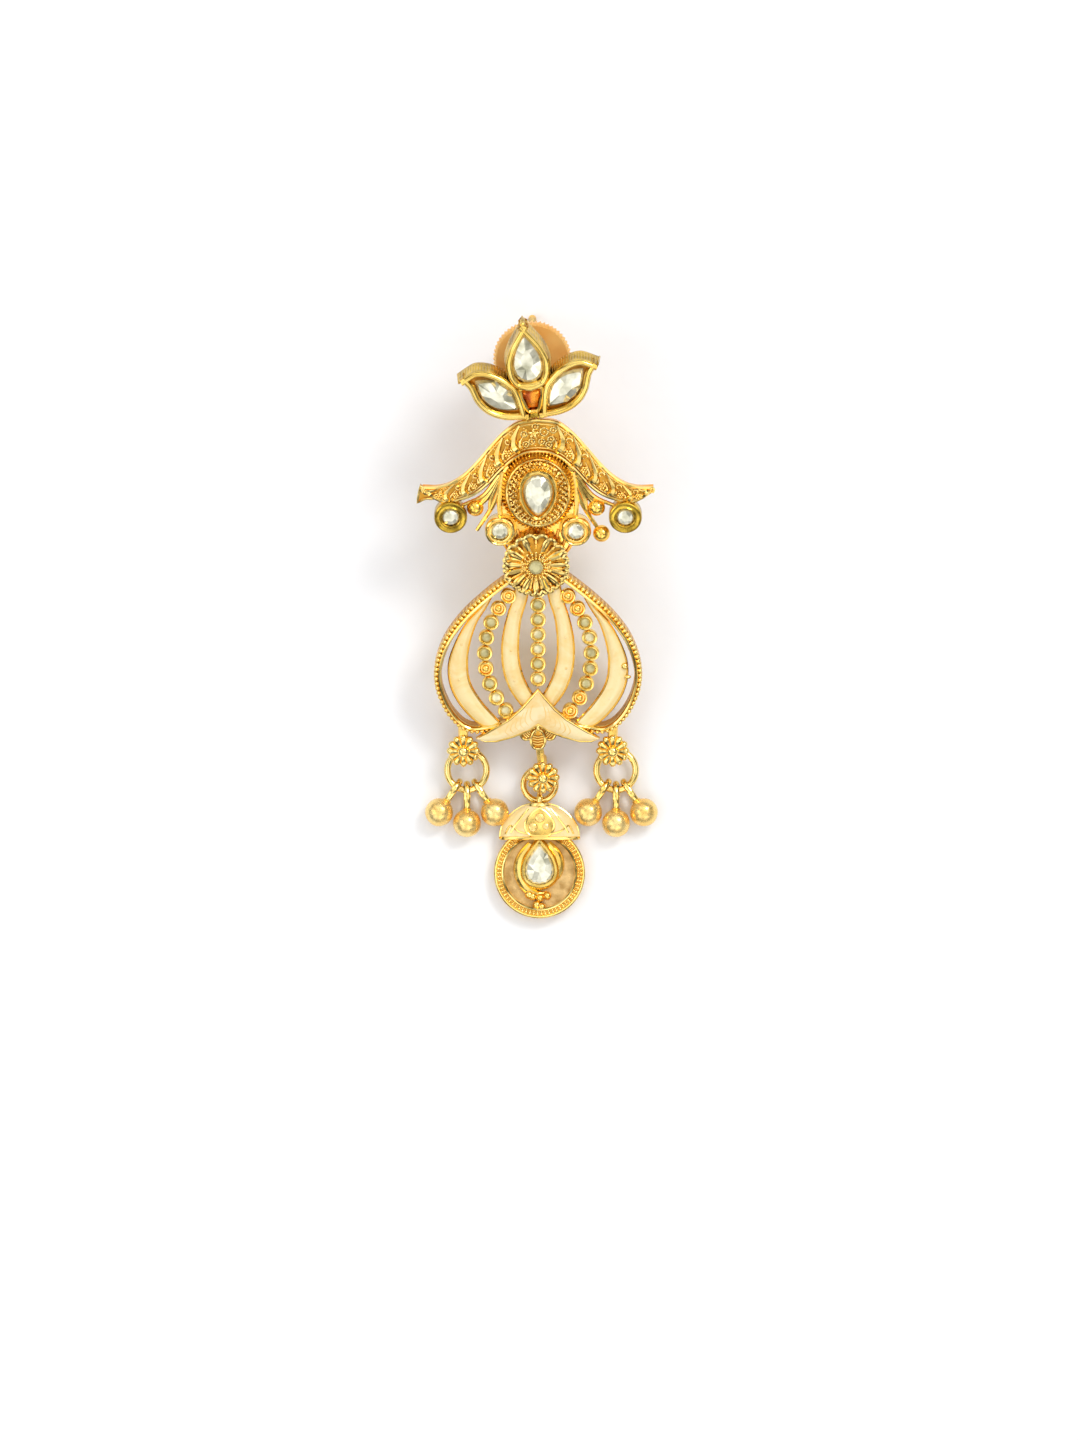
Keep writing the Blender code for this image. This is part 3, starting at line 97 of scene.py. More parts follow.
def applyModifier(obj, kind, **settings):
    pick(obj)
    modifier = obj.modifiers.new(kind.title(), kind)
    for key, value in settings.items():
        setattr(modifier, key, value)
    bpy.ops.object.modifier_apply(modifier=modifier.name)
    return obj


def drawLine(name, points, closed=False, sizes=None):
    bpy.ops.curve.primitive_nurbs_path_add()
    obj = bpy.context.object
    obj.name = name
    obj.data.splines.clear()
    spline = obj.data.splines.new("POLY")
    spline.points.add(len(points) - 1)
    for i, (knot, point) in enumerate(zip(spline.points, points)):
        knot.co = (point[0], point[1], point[2] if len(point) > 2 else 0, 1)
        knot.radius = sizes[i] if sizes else 1
    spline.use_cyclic_u = closed
    return obj


def toMesh(obj):
    pick(obj)
    bpy.ops.object.convert(target="MESH")
    return bpy.context.object


def bendWire(name, points, radius, closed=False, sizes=None, sides=2):
    obj = drawLine(name, points, closed, sizes)
    obj.data.bevel_depth = radius
    obj.data.bevel_resolution = sides
    obj.data.use_fill_caps = not closed
    return weld(toMesh(obj))


def sweepProfile(name, path, profile, closed=True):
    section = drawLine(name + "Section", profile, closed=True)
    section.data.dimensions = "2D"
    obj = drawLine(name, path, closed)
    obj.data.twist_mode = "Z_UP"
    obj.data.bevel_mode = "OBJECT"
    obj.data.bevel_object = section
    obj.data.use_fill_caps = not closed
    obj = toMesh(obj)
    bpy.data.objects.remove(section)
    return weld(obj)


def spinProfile(name, profile, steps=48, closed=False):
    obj = toMesh(drawLine(name, [(radius, 0, height) for radius, height in profile], closed))
    inEditMode(
        obj,
        lambda: bpy.ops.mesh.spin(steps=steps, angle=2 * math.pi, center=(0, 0, 0), axis=(0, 0, 1)),
        lambda: bpy.ops.mesh.select_all(action="SELECT"),
    )
    return weld(obj)


def shapeSheet(name, across, along, place, thick=0.0):
    bpy.ops.mesh.primitive_grid_add(x_subdivisions=across, y_subdivisions=along, size=2)
    obj = bpy.context.object
    obj.name = name
    for vertex in obj.data.vertices:
        vertex.co = place((vertex.co.x + 1) / 2, (vertex.co.y + 1) / 2)
    if sum(face.normal.z * face.area for face in obj.data.polygons) < 0:
        obj.data.flip_normals()
    if thick:
        applyModifier(obj, "SOLIDIFY", thickness=thick, offset=-1)
        weld(obj)
    return obj


def cutPlate(name, outline, low, high, bevel=0.0):
    bpy.ops.mesh.primitive_circle_add(vertices=len(outline), fill_type="NGON")
    obj = bpy.context.object
    obj.name = name
    for vertex, point in zip(obj.data.vertices, outline):
        vertex.co = (point[0], point[1], low)
    lift = {"value": (0, 0, high - low)}
    inEditMode(obj, lambda: bpy.ops.mesh.extrude_region_move(TRANSFORM_OT_translate=lift))
    weld(obj)
    if bevel:
        corner = math.radians(50)
        applyModifier(obj, "BEVEL", width=bevel, segments=2, limit_method="ANGLE", angle_limit=corner)
    return obj


def roundBall(name, radius, segments=24, rings=16, stretch=(1, 1, 1), place=(0, 0, 0)):
    bpy.ops.mesh.primitive_uv_sphere_add(radius=radius, segments=segments, ring_count=rings)
    obj = bpy.context.object
    obj.name = name
    obj.data.transform(Matrix.Translation(place) @ Matrix.Diagonal((*stretch, 1)))
    return obj


def ringWire(name, radius, wire, steps=48, sides=12, upright=False, place=(0, 0, 0)):
    bpy.ops.mesh.primitive_torus_add(
        major_radius=radius, minor_radius=wire, major_segments=steps, minor_segments=sides
    )
    obj = bpy.context.object
    obj.name = name
    turn = Matrix.Rotation(math.pi / 2 if upright else 0, 4, "Y")
    obj.data.transform(Matrix.Translation(place) @ turn)
    return obj


def raised(point, lift):
    return Vector(point) + Vector((0, 0, lift))


def joinAll(name, parts):
    pick(*parts)
    if len(parts) > 1:
        bpy.ops.object.join()
    obj = bpy.context.object
    obj.name = name
    return obj


def layCopies(name, source, places):
    copies = []
    for place in places:
        item = source.copy()
        item.data = source.data.copy()
        item.data.transform(place)
        if place.determinant() < 0:
            item.data.flip_normals()
        bpy.context.scene.collection.objects.link(item)
        copies.append(item)
    bpy.data.objects.remove(source)
    return joinAll(name, copies)


def moved(obj, place=(0, 0, 0), turn=0.0, stretch=(1, 1, 1)):
    matrix = spot(place, turn, stretch)
    obj.data.transform(matrix)
    if matrix.determinant() < 0:
        obj.data.flip_normals()
    return obj


def spot(place, turn=0.0, stretch=(1, 1, 1)):
    return Matrix.Translation(place) @ Matrix.Rotation(turn, 4, "Z") @ Matrix.Diagonal((*stretch, 1))


def around(count, place=(0, 0, 0)):
    return [spot(place, 2 * math.pi * i / count) for i in range(count)]


def settle(obj, name, finish, stands=(), space=dropSpace, body="earring", crease=35):
    finish = finishes[finish]
    obj.name = name
    obj.data.name = name
    obj.data.transform(space)
    pick(obj)
    if crease:
        bpy.ops.object.shade_smooth_by_angle(angle=math.radians(crease))
    else:
        bpy.ops.object.shade_flat()
    obj.data.materials.clear()
    obj.data.materials.append(finish)
    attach(obj, body)
    if stands:
        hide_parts(*stands)
    return obj


# Outline helpers


def mirrorLoop(points):
    return list(points) + [(-x, y) for x, y in reversed(points) if abs(x) > 1e-9]


def scaleLoop(table, width, height, x=0.0, y=0.0):
    return [(x + a * width, y + b * height) for a, b in table]


def smoothLine(points, steps, closed=True, corners=()):
    count = len(points)
    spans = count if closed else count - 1
    found = []
    for i in range(spans):
        p0, p1, p2, p3 = (Vector(points[(i + k) % count]) for k in (-1, 0, 1, 2))
        if i in corners or (not closed and i == 0):
            p0 = p1 + (p1 - p2)
        if (i + 1) % count in corners or (not closed and i == spans - 1):
            p3 = p2 + (p2 - p1)
        for step in range(steps):
            t = step / steps
            bend = (2 * p0 - 5 * p1 + 4 * p2 - p3) * t * t + (3 * p1 - p0 - 3 * p2 + p3) * t**3
            found.append(tuple(p1 + ((p2 - p0) * t + bend) / 2))
    if not closed:
        found.append(tuple(points[-1]))
    return found


def sampleLine(points, share):
    # A point at a share of the way along a smooth open line through the points
    spans = len(points) - 1
    at = min(max(share, 0), 1) * spans
    i = min(int(at), spans - 1)
    t = at - i
    p1, p2 = Vector(points[i]), Vector(points[i + 1])
    p0 = Vector(points[i - 1]) if i else 2 * p1 - p2
    p3 = Vector(points[i + 2]) if i + 2 <= spans else 2 * p2 - p1
    bend = (2 * p0 - 5 * p1 + 4 * p2 - p3) * t * t + (3 * p1 - p0 - 3 * p2 + p3) * t**3
    return p1 + ((p2 - p0) * t + bend) / 2


def loopArea(points):
    return sum(a[0] * b[1] - b[0] * a[1] for a, b in zip(points, points[1:] + points[:1])) / 2


def counterClockwise(points):
    return points if loopArea(points) > 0 else points[::-1]


def insetLoop(points, distance):
    side = 1 if loopArea(points) > 0 else -1
    found = []
    for i, point in enumerate(points):
        before = (Vector(point) - Vector(points[i - 1])).normalized()
        after = (Vector(points[(i + 1) % len(points)]) - Vector(point)).normalized()
        normal = Vector((-before.y - after.y, before.x + after.x)).normalized() * side
        lean = max(0.55, normal.dot(Vector((-before.y, before.x)) * side))
        found.append(tuple(Vector(point) + normal * distance / lean))
    return found


def walkLine(points, gap, closed=True):
    # Evenly spaced places along a line, each with the line's direction there
    line = [Vector(point) for point in points]
    if closed:
        line.append(line[0])
    length = sum((b - a).length for a, b in zip(line, line[1:]))
    count = max(2, round(length / gap))
    pitch = length / count
    found, due, run = [], 0.0, 0.0
    for a, b in zip(line, line[1:]):
        reach = (b - a).length
        while due <= run + reach + 1e-9 and len(found) < count + (not closed):
            found.append((a.lerp(b, (due - run) / reach if reach else 0), math.atan2(b.y - a.y, b.x - a.x)))
            due += pitch
        run += reach
    return found


def pearLoop(width, length, steps, tip=1, taper=1.0):
    # taper says how far the sides draw in towards the tip: none at 0, where the loop is an oval
    widest = 2 * math.sqrt((1 + taper) / (2 + taper)) ** (1 + taper) / math.sqrt(2 + taper)
    found = []
    for i in range(steps):
        angle = 2 * math.pi * i / steps
        x = width / 2 * math.sin(angle) * abs(math.sin(angle / 2)) ** taper / widest
        found.append((x, tip * length / 2 * math.cos(angle)))
    return counterClockwise(found)


def marquiseLoop(width, length, steps):
    found = []
    for i in range(steps):
        angle = 2 * math.pi * i / steps
        side = 1 if math.sin(angle) >= 0 else -1
        found.append((side * width / 2 * math.sin(angle) ** 2, length / 2 * math.cos(angle)))
    return counterClockwise(found)


def ovalLoop(width, length, steps, start=0.0):
    angles = [start + 2 * math.pi * i / steps for i in range(steps)]
    return [(width / 2 * math.cos(a), length / 2 * math.sin(a)) for a in angles]


# Finishes


def newGroup(name, inputs, outputs):
    group = bpy.data.node_groups.new(name, "ShaderNodeTree")
    for label, kind, value in inputs:
        socket = group.interface.new_socket(name=label, in_out="INPUT", socket_type=kind)
        socket.default_value = value
    for label, kind in outputs:
        group.interface.new_socket(name=label, in_out="OUTPUT", socket_type=kind)
    return group, group.nodes.new("NodeGroupInput"), group.nodes.new("NodeGroupOutput")


def addNode(tree, kind, links=(), **settings):
    node = tree.nodes.new(kind)
    for key, value in settings.items():
        setattr(node, key, value)
    for source, target in links:
        tree.links.new(source, node.inputs[target])
    return node


def setValues(node, **values):
    for key, value in values.items():
        node.inputs[key.replace("_", " ")].default_value = value
    return node


def castSkinGroup():
    # Cast metal: patches of a deeper tone, fine grain in the gloss, and a slight unevenness
    group, given, out = newGroup(
        "castSkin",
        [
            ("Bright", "NodeSocketColor", (1, 1, 1, 1)),
            ("Deep", "NodeSocketColor", (0.5, 0.5, 0.5, 1)),
            ("Patch Scale", "NodeSocketFloat", 400.0),
            ("Gloss Low", "NodeSocketFloat", 0.15),
            ("Gloss High", "NodeSocketFloat", 0.3),
            ("Relief", "NodeSocketFloat", 0.2),
        ],
        [("Color", "NodeSocketColor"), ("Roughness", "NodeSocketFloat"), ("Normal", "NodeSocketVector")],
    )
    place = addNode(group, "ShaderNodeTexCoord").outputs["Object"]
    scale = given.outputs["Patch Scale"]
    patches = addNode(group, "ShaderNodeTexNoise", [(place, "Vector"), (scale, "Scale")])
    setValues(patches, Detail=3.0)
    spread = addNode(group, "ShaderNodeMapRange", [(patches.outputs["Fac"], "Value")])
    setValues(spread, From_Min=0.35, From_Max=0.68)
    blend = addNode(group, "ShaderNodeMix", data_type="RGBA")
    group.links.new(spread.outputs["Result"], blend.inputs["Factor"])
    group.links.new(given.outputs["Bright"], blend.inputs[6])
    group.links.new(given.outputs["Deep"], blend.inputs[7])
    finer = addNode(group, "ShaderNodeMath", [(scale, 0)], operation="MULTIPLY")
    finer.inputs[1].default_value = 7.0
    grain = addNode(group, "ShaderNodeTexNoise", [(place, "Vector"), (finer.outputs[0], "Scale")])
    setValues(grain, Detail=4.0, Roughness=0.6)
    gloss = addNode(group, "ShaderNodeMapRange", [(grain.outputs["Fac"], "Value")])
    setValues(gloss, From_Min=0.3, From_Max=0.7)
    group.links.new(given.outputs["Gloss Low"], gloss.inputs["To Min"])
    group.links.new(given.outputs["Gloss High"], gloss.inputs["To Max"])
    relief = given.outputs["Relief"]
    bump = addNode(group, "ShaderNodeBump", [(grain.outputs["Fac"], "Height"), (relief, "Strength")])
    setValues(bump, Distance=0.00003)
    group.links.new(blend.outputs[2], out.inputs["Color"])
    group.links.new(gloss.outputs["Result"], out.inputs["Roughness"])
    group.links.new(bump.outputs["Normal"], out.inputs["Normal"])
    return group


castSkin = castSkinGroup()


def newFinish(name, slot):
    finish = bpy.data.materials.new(name)
    finish.use_nodes = True
    finish["slot"] = slot
    return finish, finish.node_tree, finish.node_tree.nodes["Principled BSDF"]


def castMetal(name, slot, bright, deep, scale, glossLow, glossHigh, relief, metallic=1.0):
    finish, tree, shader = newFinish(name, slot)
    skin = addNode(tree, "ShaderNodeGroup", node_tree=castSkin)
    setValues(skin, Bright=(*bright, 1), Deep=(*deep, 1), Patch_Scale=scale, Relief=relief)
    setValues(skin, Gloss_Low=glossLow, Gloss_High=glossHigh)
    tree.links.new(skin.outputs["Color"], shader.inputs["Base Color"])
    tree.links.new(skin.outputs["Roughness"], shader.inputs["Roughness"])
    tree.links.new(skin.outputs["Normal"], shader.inputs["Normal"])
    shader.inputs["Metallic"].default_value = metallic
    return finish


def foiledGlass(name, slot, bright, deep, scale, metallic, rough, coat=1.0):
    # A stone over foil: pale patches and grey ones behind a clear coat
    finish = castMetal(name, slot, bright, deep, scale, rough, rough * 1.6, 0.02, metallic)
    shader = finish.node_tree.nodes["Principled BSDF"]
    setValues(shader, Coat_Weight=coat, Coat_Roughness=0.02, IOR=1.52)
    return finish


def glossyEnamel(name, slot, bright, deep, scale, stretch=(1, 1, 1)):
    finish, tree, shader = newFinish(name, slot)
    place = addNode(tree, "ShaderNodeTexCoord").outputs["Object"]
    turned = setValues(addNode(tree, "ShaderNodeMapping", [(place, "Vector")]), Scale=stretch)
    cloud = addNode(tree, "ShaderNodeTexNoise", [(turned.outputs["Vector"], "Vector")])
    setValues(cloud, Scale=scale, Detail=5.0, Roughness=0.62, Distortion=0.6)
    tone = addNode(tree, "ShaderNodeValToRGB", [(cloud.outputs["Fac"], "Fac")])
    for stop, position, colour in zip(tone.color_ramp.elements, (0.36, 0.56), (deep, bright)):
        stop.position = position
        stop.color = (*colour, 1)
    pits = addNode(tree, "ShaderNodeTexNoise", [(place, "Vector")])
    setValues(pits, Scale=1800.0, Detail=2.0)
    bump = addNode(tree, "ShaderNodeBump", [(pits.outputs["Fac"], "Height")])
    setValues(bump, Strength=0.18, Distance=0.00003)
    tree.links.new(tone.outputs["Color"], shader.inputs["Base Color"])
    tree.links.new(bump.outputs["Normal"], shader.inputs["Normal"])
    setValues(shader, Roughness=0.24, Coat_Weight=0.6, Coat_Roughness=0.08)
    return finish


# name, the two tones, the patches' scale, the gloss from low to high, relief, and how metallic
giltMetals = {
    "gold": ("brightGold", (1.0, 0.70, 0.19), (0.95, 0.56, 0.10), 420, 0.10, 0.24, 0.25),
    "wireGold": ("wireGold", (1.0, 0.76, 0.27), (0.98, 0.66, 0.17), 300, 0.08, 0.18, 0.12),
    # painted shade: a darker orange copy of the gold for the canopy's walls and back, the skirt's ribs, the
    # daisies' backs and the pendant's dish
    "orangeShadeGold": ("shadedOrangeGold", (0.98, 0.56, 0.12), (0.90, 0.44, 0.07), 380, 0.22, 0.40, 0.35),
    "shadeGold": ("shadedGold", (0.76, 0.38, 0.05), (0.42, 0.19, 0.02), 600, 0.25, 0.45, 0.4),
    "satinGold": ("brushedGold", (1.0, 0.75, 0.30), (0.98, 0.60, 0.15), 700, 0.18, 0.36, 0.7, 0.8),
    # painted shade: a tan-brown sheet in the pendant's open middle stands for the shaded cloth seen through
    # it
    "shadedPendantFloor": ("pendantPaintedShade", (0.82, 0.57, 0.25), (0.50, 0.30, 0.10), 900, 0.42, 0.62, 1.0),
    # the nut's own orange satin gold, lightened and made less metallic to lift it out of the shade under the
    # flower: partly painted light
    "litNutGold": ("litNutGold", (1.0, 0.62, 0.20), (0.98, 0.50, 0.11), 300, 0.34, 0.5, 0.3, 0.35),
}
darkMetals = {
    # a darker olive gold for the flower's outer walls and their ribs, and for the outer bezels
    "oliveGold": ("oliveDarkGold", (0.74, 0.48, 0.06), (0.30, 0.18, 0.02), 700, 0.14, 0.30, 0.5),
    "ridgeGold": ("cellRidgeGold", (0.98, 0.70, 0.20), (0.82, 0.52, 0.10), 420, 0.10, 0.24, 0.2),
    # painted shade: a dark orange copy of the gold for the sunk floors of the flower's cells
    "shadedCellFloor": ("shadedCellFloor", (0.72, 0.36, 0.07), (0.42, 0.18, 0.03), 600, 0.30, 0.5, 0.4),
}
# name, slot, the two tones, the patches' scale, how metallic, how rough, and the coat
glasses = {
    "stone": ("kundanGlass", "clear_stone", (1.0, 0.96, 0.76), (0.48, 0.46, 0.30), 800, 0.6, 0.05),
    "paleStone": ("paleGlass", "clear_stone", (0.86, 0.78, 0.46), (0.58, 0.50, 0.24), 900, 0.35, 0.14),
    "cupStone": ("greyGreenGlass", "clear_stone", (0.66, 0.58, 0.26), (0.40, 0.34, 0.13), 900, 0.3, 0.16),
    "amber": ("amberGlass", "amber_fill", (1.0, 0.36, 0.02), (0.42, 0.05, 0.005), 1100, 0.6, 0.22, 0.2),
}
# name, the two tones, the cloud's scale and its stretch
enamels = {
    "enamel": ("creamEnamel", (0.93, 0.73, 0.345), (0.90, 0.63, 0.23), 420),
    "arcEnamel": ("arcEnamel", (0.93, 0.64, 0.24), (0.90, 0.54, 0.14), 600),
    "leafEnamel": ("brushedEnamel", (0.92, 0.73, 0.38), (0.88, 0.58, 0.19), 300, (1, 2.2, 1)),
}
finishes = {}
for slot, metals in (("gilt_metal", giltMetals), ("dark_gilt_metal", darkMetals)):
    for key, (name, *facts) in metals.items():
        finishes[key] = castMetal(name, slot, *facts)
for key, facts in glasses.items():
    finishes[key] = foiledGlass(*facts)
for key, (name, *facts) in enamels.items():
    finishes[key] = glossyEnamel(name, "cream_enamel", *facts)
print("finishes made")


# Bulb: rim, blades, cup columns and crossed leaf

bulb = {
    "halfWidth": 10.4,
    "height": 17.8,
    "grainRadius": 0.24,
    "grainPitch": 0.50,
    "grainHeight": 1.56,
    "ribHeight": 0.76,
    "ribStretch": (0.66, 1, 3.0),
    # a stray grain and a tab of solder on the right outer blade: place, radius and stretch
    "strays": [((8.65, 8.10, 1.70), 0.36, (1, 1, 0.8)), ((8.95, 6.95, 1.62), 0.26, (1.3, 0.8, 0.8))],
    "outline": [
        (0.00, 1.070), (0.15, 1.050), (0.30, 0.985), (0.52, 0.880), (0.715, 0.770),
        (0.865, 0.655), (0.955, 0.545), (1.00, 0.430), (0.99, 0.325), (0.935, 0.225),
        (0.850, 0.140), (0.735, 0.075), (0.58, 0.050), (0.30, 0.085), (0.00, 0.145),
    ],
    # outwards from the outline and up: a low ledge for the grains, then a smooth ridge
    "ledge": [(-0.80, 0.02), (-0.07, 0.02), (-0.07, 1.24), (-0.30, 1.36), (-0.80, 1.36)],
    "ridge": [
        (-0.80, 1.3), (-0.40, 1.3), (-0.40, 1.74), (-0.46, 1.92),
        (-0.58, 2.0), (-0.70, 1.92), (-0.76, 1.74), (-0.80, 1.66),
    ],
}


def makeBulbRim():
    line = mirrorLoop(scaleLoop(bulb["outline"], bulb["halfWidth"], bulb["height"]))
    line = counterClockwise(smoothLine(line, 8))
    settle(sweepProfile("ledge", line, bulb["ledge"]), "bulbRim", "shadeGold", ["main_frame"])
    settle(sweepProfile("ridge", line, bulb["ridge"]), "bulbRidge", "wireGold")
    size = bulb["grainRadius"]
    track = walkLine(insetLoop(line, size), bulb["grainPitch"])
    rows = (
        ("rimGrains", "wireGold", bulb["grainHeight"], (1, 1, 1)),
        ("rimRibs", "gold", bulb["ribHeight"], bulb["ribStretch"]),
    )
    for name, finish, height, stretch in rows:
        grain = roundBall("grain", size, 8, 6, stretch)
        places = [spot((at.x, at.y, height), turn) for at, turn in track]
        settle(layCopies(name, grain, places), name, finish)
    strays = [roundBall("stray", size, 16, 12, stretch, place) for place, size, stretch in bulb["strays"]]
    settle(joinAll("strays", strays), "rimStrays", "wireGold")


blades = {
    # share of the bulb's height, then the outer and inner edge as shares of its half width
    "outer": [
        (0.880, 0.470, 0.430), (0.800, 0.548, 0.500), (0.710, 0.680, 0.590),
        (0.590, 0.790, 0.655), (0.470, 0.855, 0.680), (0.350, 0.845, 0.650),
        (0.240, 0.765, 0.545), (0.140, 0.625, 0.400), (0.075, 0.470, 0.290),
    ],
    "inner": [
        (0.960, 0.200, 0.085), (0.850, 0.238, 0.108), (0.736, 0.298, 0.163),
        (0.612, 0.340, 0.187), (0.493, 0.344, 0.183), (0.395, 0.318, 0.145),
        (0.310, 0.262, 0.080), (0.265, 0.215, 0.035), (0.205, 0.140, 0.005),
    ],
    "trayLow": 0.92,
    "trayTop": 1.22,
    "enamelEdge": 1.52,
    "enamelCrown": 0.24,
    "enamelThick": 0.26,
    # shares of the tray that the enamel leaves bare at each end and at each side
    "bareEnd": 0.005,
    "bareSide": 0.07,
    "edgeHeight": 1.42,
    "edgeSection": [(-0.07, -0.25), (0.07, -0.25), (0.09, 0.1), (0.0, 0.24), (-0.09, 0.1)],
    "dotRadius": 0.15,
    "dotStretch": (1, 1, 0.45),
    # side, which blade, share along it, share across it
    "dots": [
        (-1, "inner", 0.20, 0.5), (-1, "inner", 0.44, 0.55), (-1, "inner", 0.66, 0.45),
        (1, "inner", 0.18, 0.5), (1, "inner", 0.36, 0.5), (-1, "outer", 0.60, 0.5),
        (1, "outer", 0.72, 0.5), (1, "inner", 0.56, 0.4), (-1, "outer", 0.38, 0.45),
    ],
}


def bladePoint(table, side, along, across, z):
    height, outer, inner = sampleLine(table, along)
    return (side * bulb["halfWidth"] * (outer + (inner - outer) * across), bulb["height"] * height, z)


def makeBlades():
    wires = []
    bareEnd, bareSide = blades["bareEnd"], blades["bareSide"]
    for side, hand in hands:
        for kind in ("outer", "inner"):
            table = blades[kind]
            name = f"{kind}Blade{hand.title()}"

            def onTray(u, v):
                return bladePoint(table, side, v, u, blades["trayTop"])

            def onEnamel(u, v):
                along, across = bareEnd + v * (1 - 2 * bareEnd), bareSide + u * (1 - 2 * bareSide)
                crown = blades["enamelCrown"] * (1 - (2 * u - 1) ** 2)
                return bladePoint(table, side, along, across, blades["enamelEdge"] + crown)

            tray = shapeSheet(name + "Tray", 4, 60, onTray, blades["trayTop"] - blades["trayLow"])
            settle(tray, name + "Tray", "gold")
            fill = shapeSheet(name, 8, 72, onEnamel, blades["enamelThick"])
            settle(fill, name, "enamel", [f"enamel_blade_{hand}_{kind}"])
            for across in (0, 1):
                line = [bladePoint(table, side, i / 60, across, blades["edgeHeight"]) for i in range(61)]
                wires.append(sweepProfile("edge", line, blades["edgeSection"], closed=False))
    settle(joinAll("bladeEdges", wires), "bladeEdges", "wireGold")
    top = blades["enamelEdge"] + blades["enamelCrown"] * 0.9
    dots = []
    for side, kind, along, across in blades["dots"]:
        dots.append(spot(bladePoint(blades[kind], side, along, across, top), 0, blades["dotStretch"]))
    dot = roundBall("dot", blades["dotRadius"], 10, 8)
    settle(layCopies("enamelDots", dot, dots), "enamelDots", "leafEnamel")


cups = {
    "radius": 0.80,
    "centreTop": 16.02,
    "centrePitch": 1.558,
    "centreCount": 7,
    "sideArc": [(2.964, 15.397), (5.304, 8.544), (3.224, 3.293)],
    "sideCount": 9,
    "low": 0.92,
    "top": 1.72,
    "floor": 1.36,
    "bead": (0.36, (1, 1, 0.7)),
    # what fills each cup, from the top down: b a gold bead, o olive glass, g grey glass, p pale glass
    "left": "bbggobgpp",
    "centre": "booppop",
    "right": "bbopggobb",
    "glass": [
        ("o", "oliveCupStones", "cupStone"),
        ("g", "greyCupStones", "cupStone"),
        ("p", "paleCupStones", "paleStone"),
    ],
}


def arcThrough(first, middle, last, count):
    a, b, c = Vector(first), Vector(middle), Vector(last)
    d = 2 * (a.x * (b.y - c.y) + b.x * (c.y - a.y) + c.x * (a.y - b.y))
    aa, bb, cc = a.length_squared, b.length_squared, c.length_squared
    x = (aa * (b.y - c.y) + bb * (c.y - a.y) + cc * (a.y - b.y)) / d
    y = (aa * (c.x - b.x) + bb * (a.x - c.x) + cc * (b.x - a.x)) / d
    radius = (a - Vector((x, y))).length
    start, end = math.atan2(a.y - y, a.x - x), math.atan2(c.y - y, c.x - x)
    turns = [start + (end - start) * i / (count - 1) for i in range(count)]
    return [(x + radius * math.cos(t), y + radius * math.sin(t)) for t in turns]


def roseStone(name, loop, low, high, table=0.42):
    # A cut stone: rings of points at four heights, every other ring turned half a step, in one hull
    half = [((a + c) / 2, (b + d) / 2) for (a, b), (c, d) in zip(loop, loop[-1:] + loop[:-1])]
    rings = [(loop, 0.97, 0.0), (loop, 1.0, 0.55), (half, 0.86, 0.82), (loop[::2], table, 1.0)]
    points = [(x * share, y * share, low + (high - low) * up) for ring, share, up in rings for x, y in ring]
    bpy.ops.mesh.primitive_circle_add(vertices=len(points))
    obj = bpy.context.object
    obj.name = name
    for vertex, point in zip(obj.data.vertices, points):
        vertex.co = point
    inEditMode(
        obj,
        lambda: bpy.ops.mesh.delete(type="EDGE_FACE"),
        lambda: bpy.ops.mesh.select_all(action="SELECT"),
        bpy.ops.mesh.convex_hull,
    )
    return weld(obj)


def settleStone(
    name, node, loop, low, high, table, place=(0, 0, 0), turn=0.0, space=dropSpace, finish="stone"
):
    stone = moved(roseStone("stone", loop, low, high, table), place, turn)
    settle(stone, name, finish, [node], space, crease=0)


def makeCups():
    radius, low, top, floor = cups["radius"], cups["low"], cups["top"], cups["floor"]
    places = {
        "centre": [(0.0, cups["centreTop"] - cups["centrePitch"] * i) for i in range(cups["centreCount"])],
        "right": arcThrough(*cups["sideArc"], cups["sideCount"]),
    }
    places["left"] = [(-x, y) for x, y in places["right"]]
    section = [
        (0, low), (radius * 0.96, low), (radius, low + 0.12), (radius, top - 0.16),
        (radius * 0.90, top - 0.02), (radius * 0.78, top), (radius * 0.68, top - 0.08),
        (radius * 0.60, top - 0.34), (0, floor),
    ]
    spots = [spot((x, y, 0)) for line in places.values() for x, y in line]
    settle(layCopies("cupShells", spinProfile("cup", section, 20), spots), "cupShells", "wireGold")
    fills = {"b": [], "o": [], "g": [], "p": []}
    for hand, line in places.items():
        for (x, y), kind in zip(line, cups[hand]):
            fills[kind].append(spot((x, y, 0), random.uniform(0, 3)))
    size, stretch = cups["bead"]
    bead = roundBall("bead", size, 14, 10, stretch, (0, 0, floor + 0.12))
    settle(layCopies("cupBeads", bead, fills["b"]), "cupBeads", "gold")
    loop = ovalLoop(radius * 1.22, radius * 1.22, 8)
    for kind, name, finish in cups["glass"]:
        stone = roseStone("stone", loop, floor - 0.06, top - 0.16, 0.55)
        settle(layCopies(name, stone, fills[kind]), name, finish, crease=0)


leaf = {
    "halfSpan": 6.2,
    "height": 5.7,
    "heelTop": 1.9,
    "top": 2.28,
    "crown": 0.20,
    "ridge": 0.10,
    "wire": 0.10,
    "arcs": 6,
    "arcWire": 0.05,
    "arcSizes": [0.3, 0.8, 1, 1.2, 1.2, 1.2, 1, 0.8, 0.3],
    "upper": [
        (0.000, 1.030), (0.125, 0.860), (0.275, 0.665), (0.470, 0.470),
        (0.670, 0.330), (0.840, 0.220), (1.000, 0.110),
    ],
    "lower": [(0.000, 0.355), (0.150, 0.235), (0.410, 0.120), (0.670, 0.040), (0.860, 0.040), (1.000, 0.110)],
}


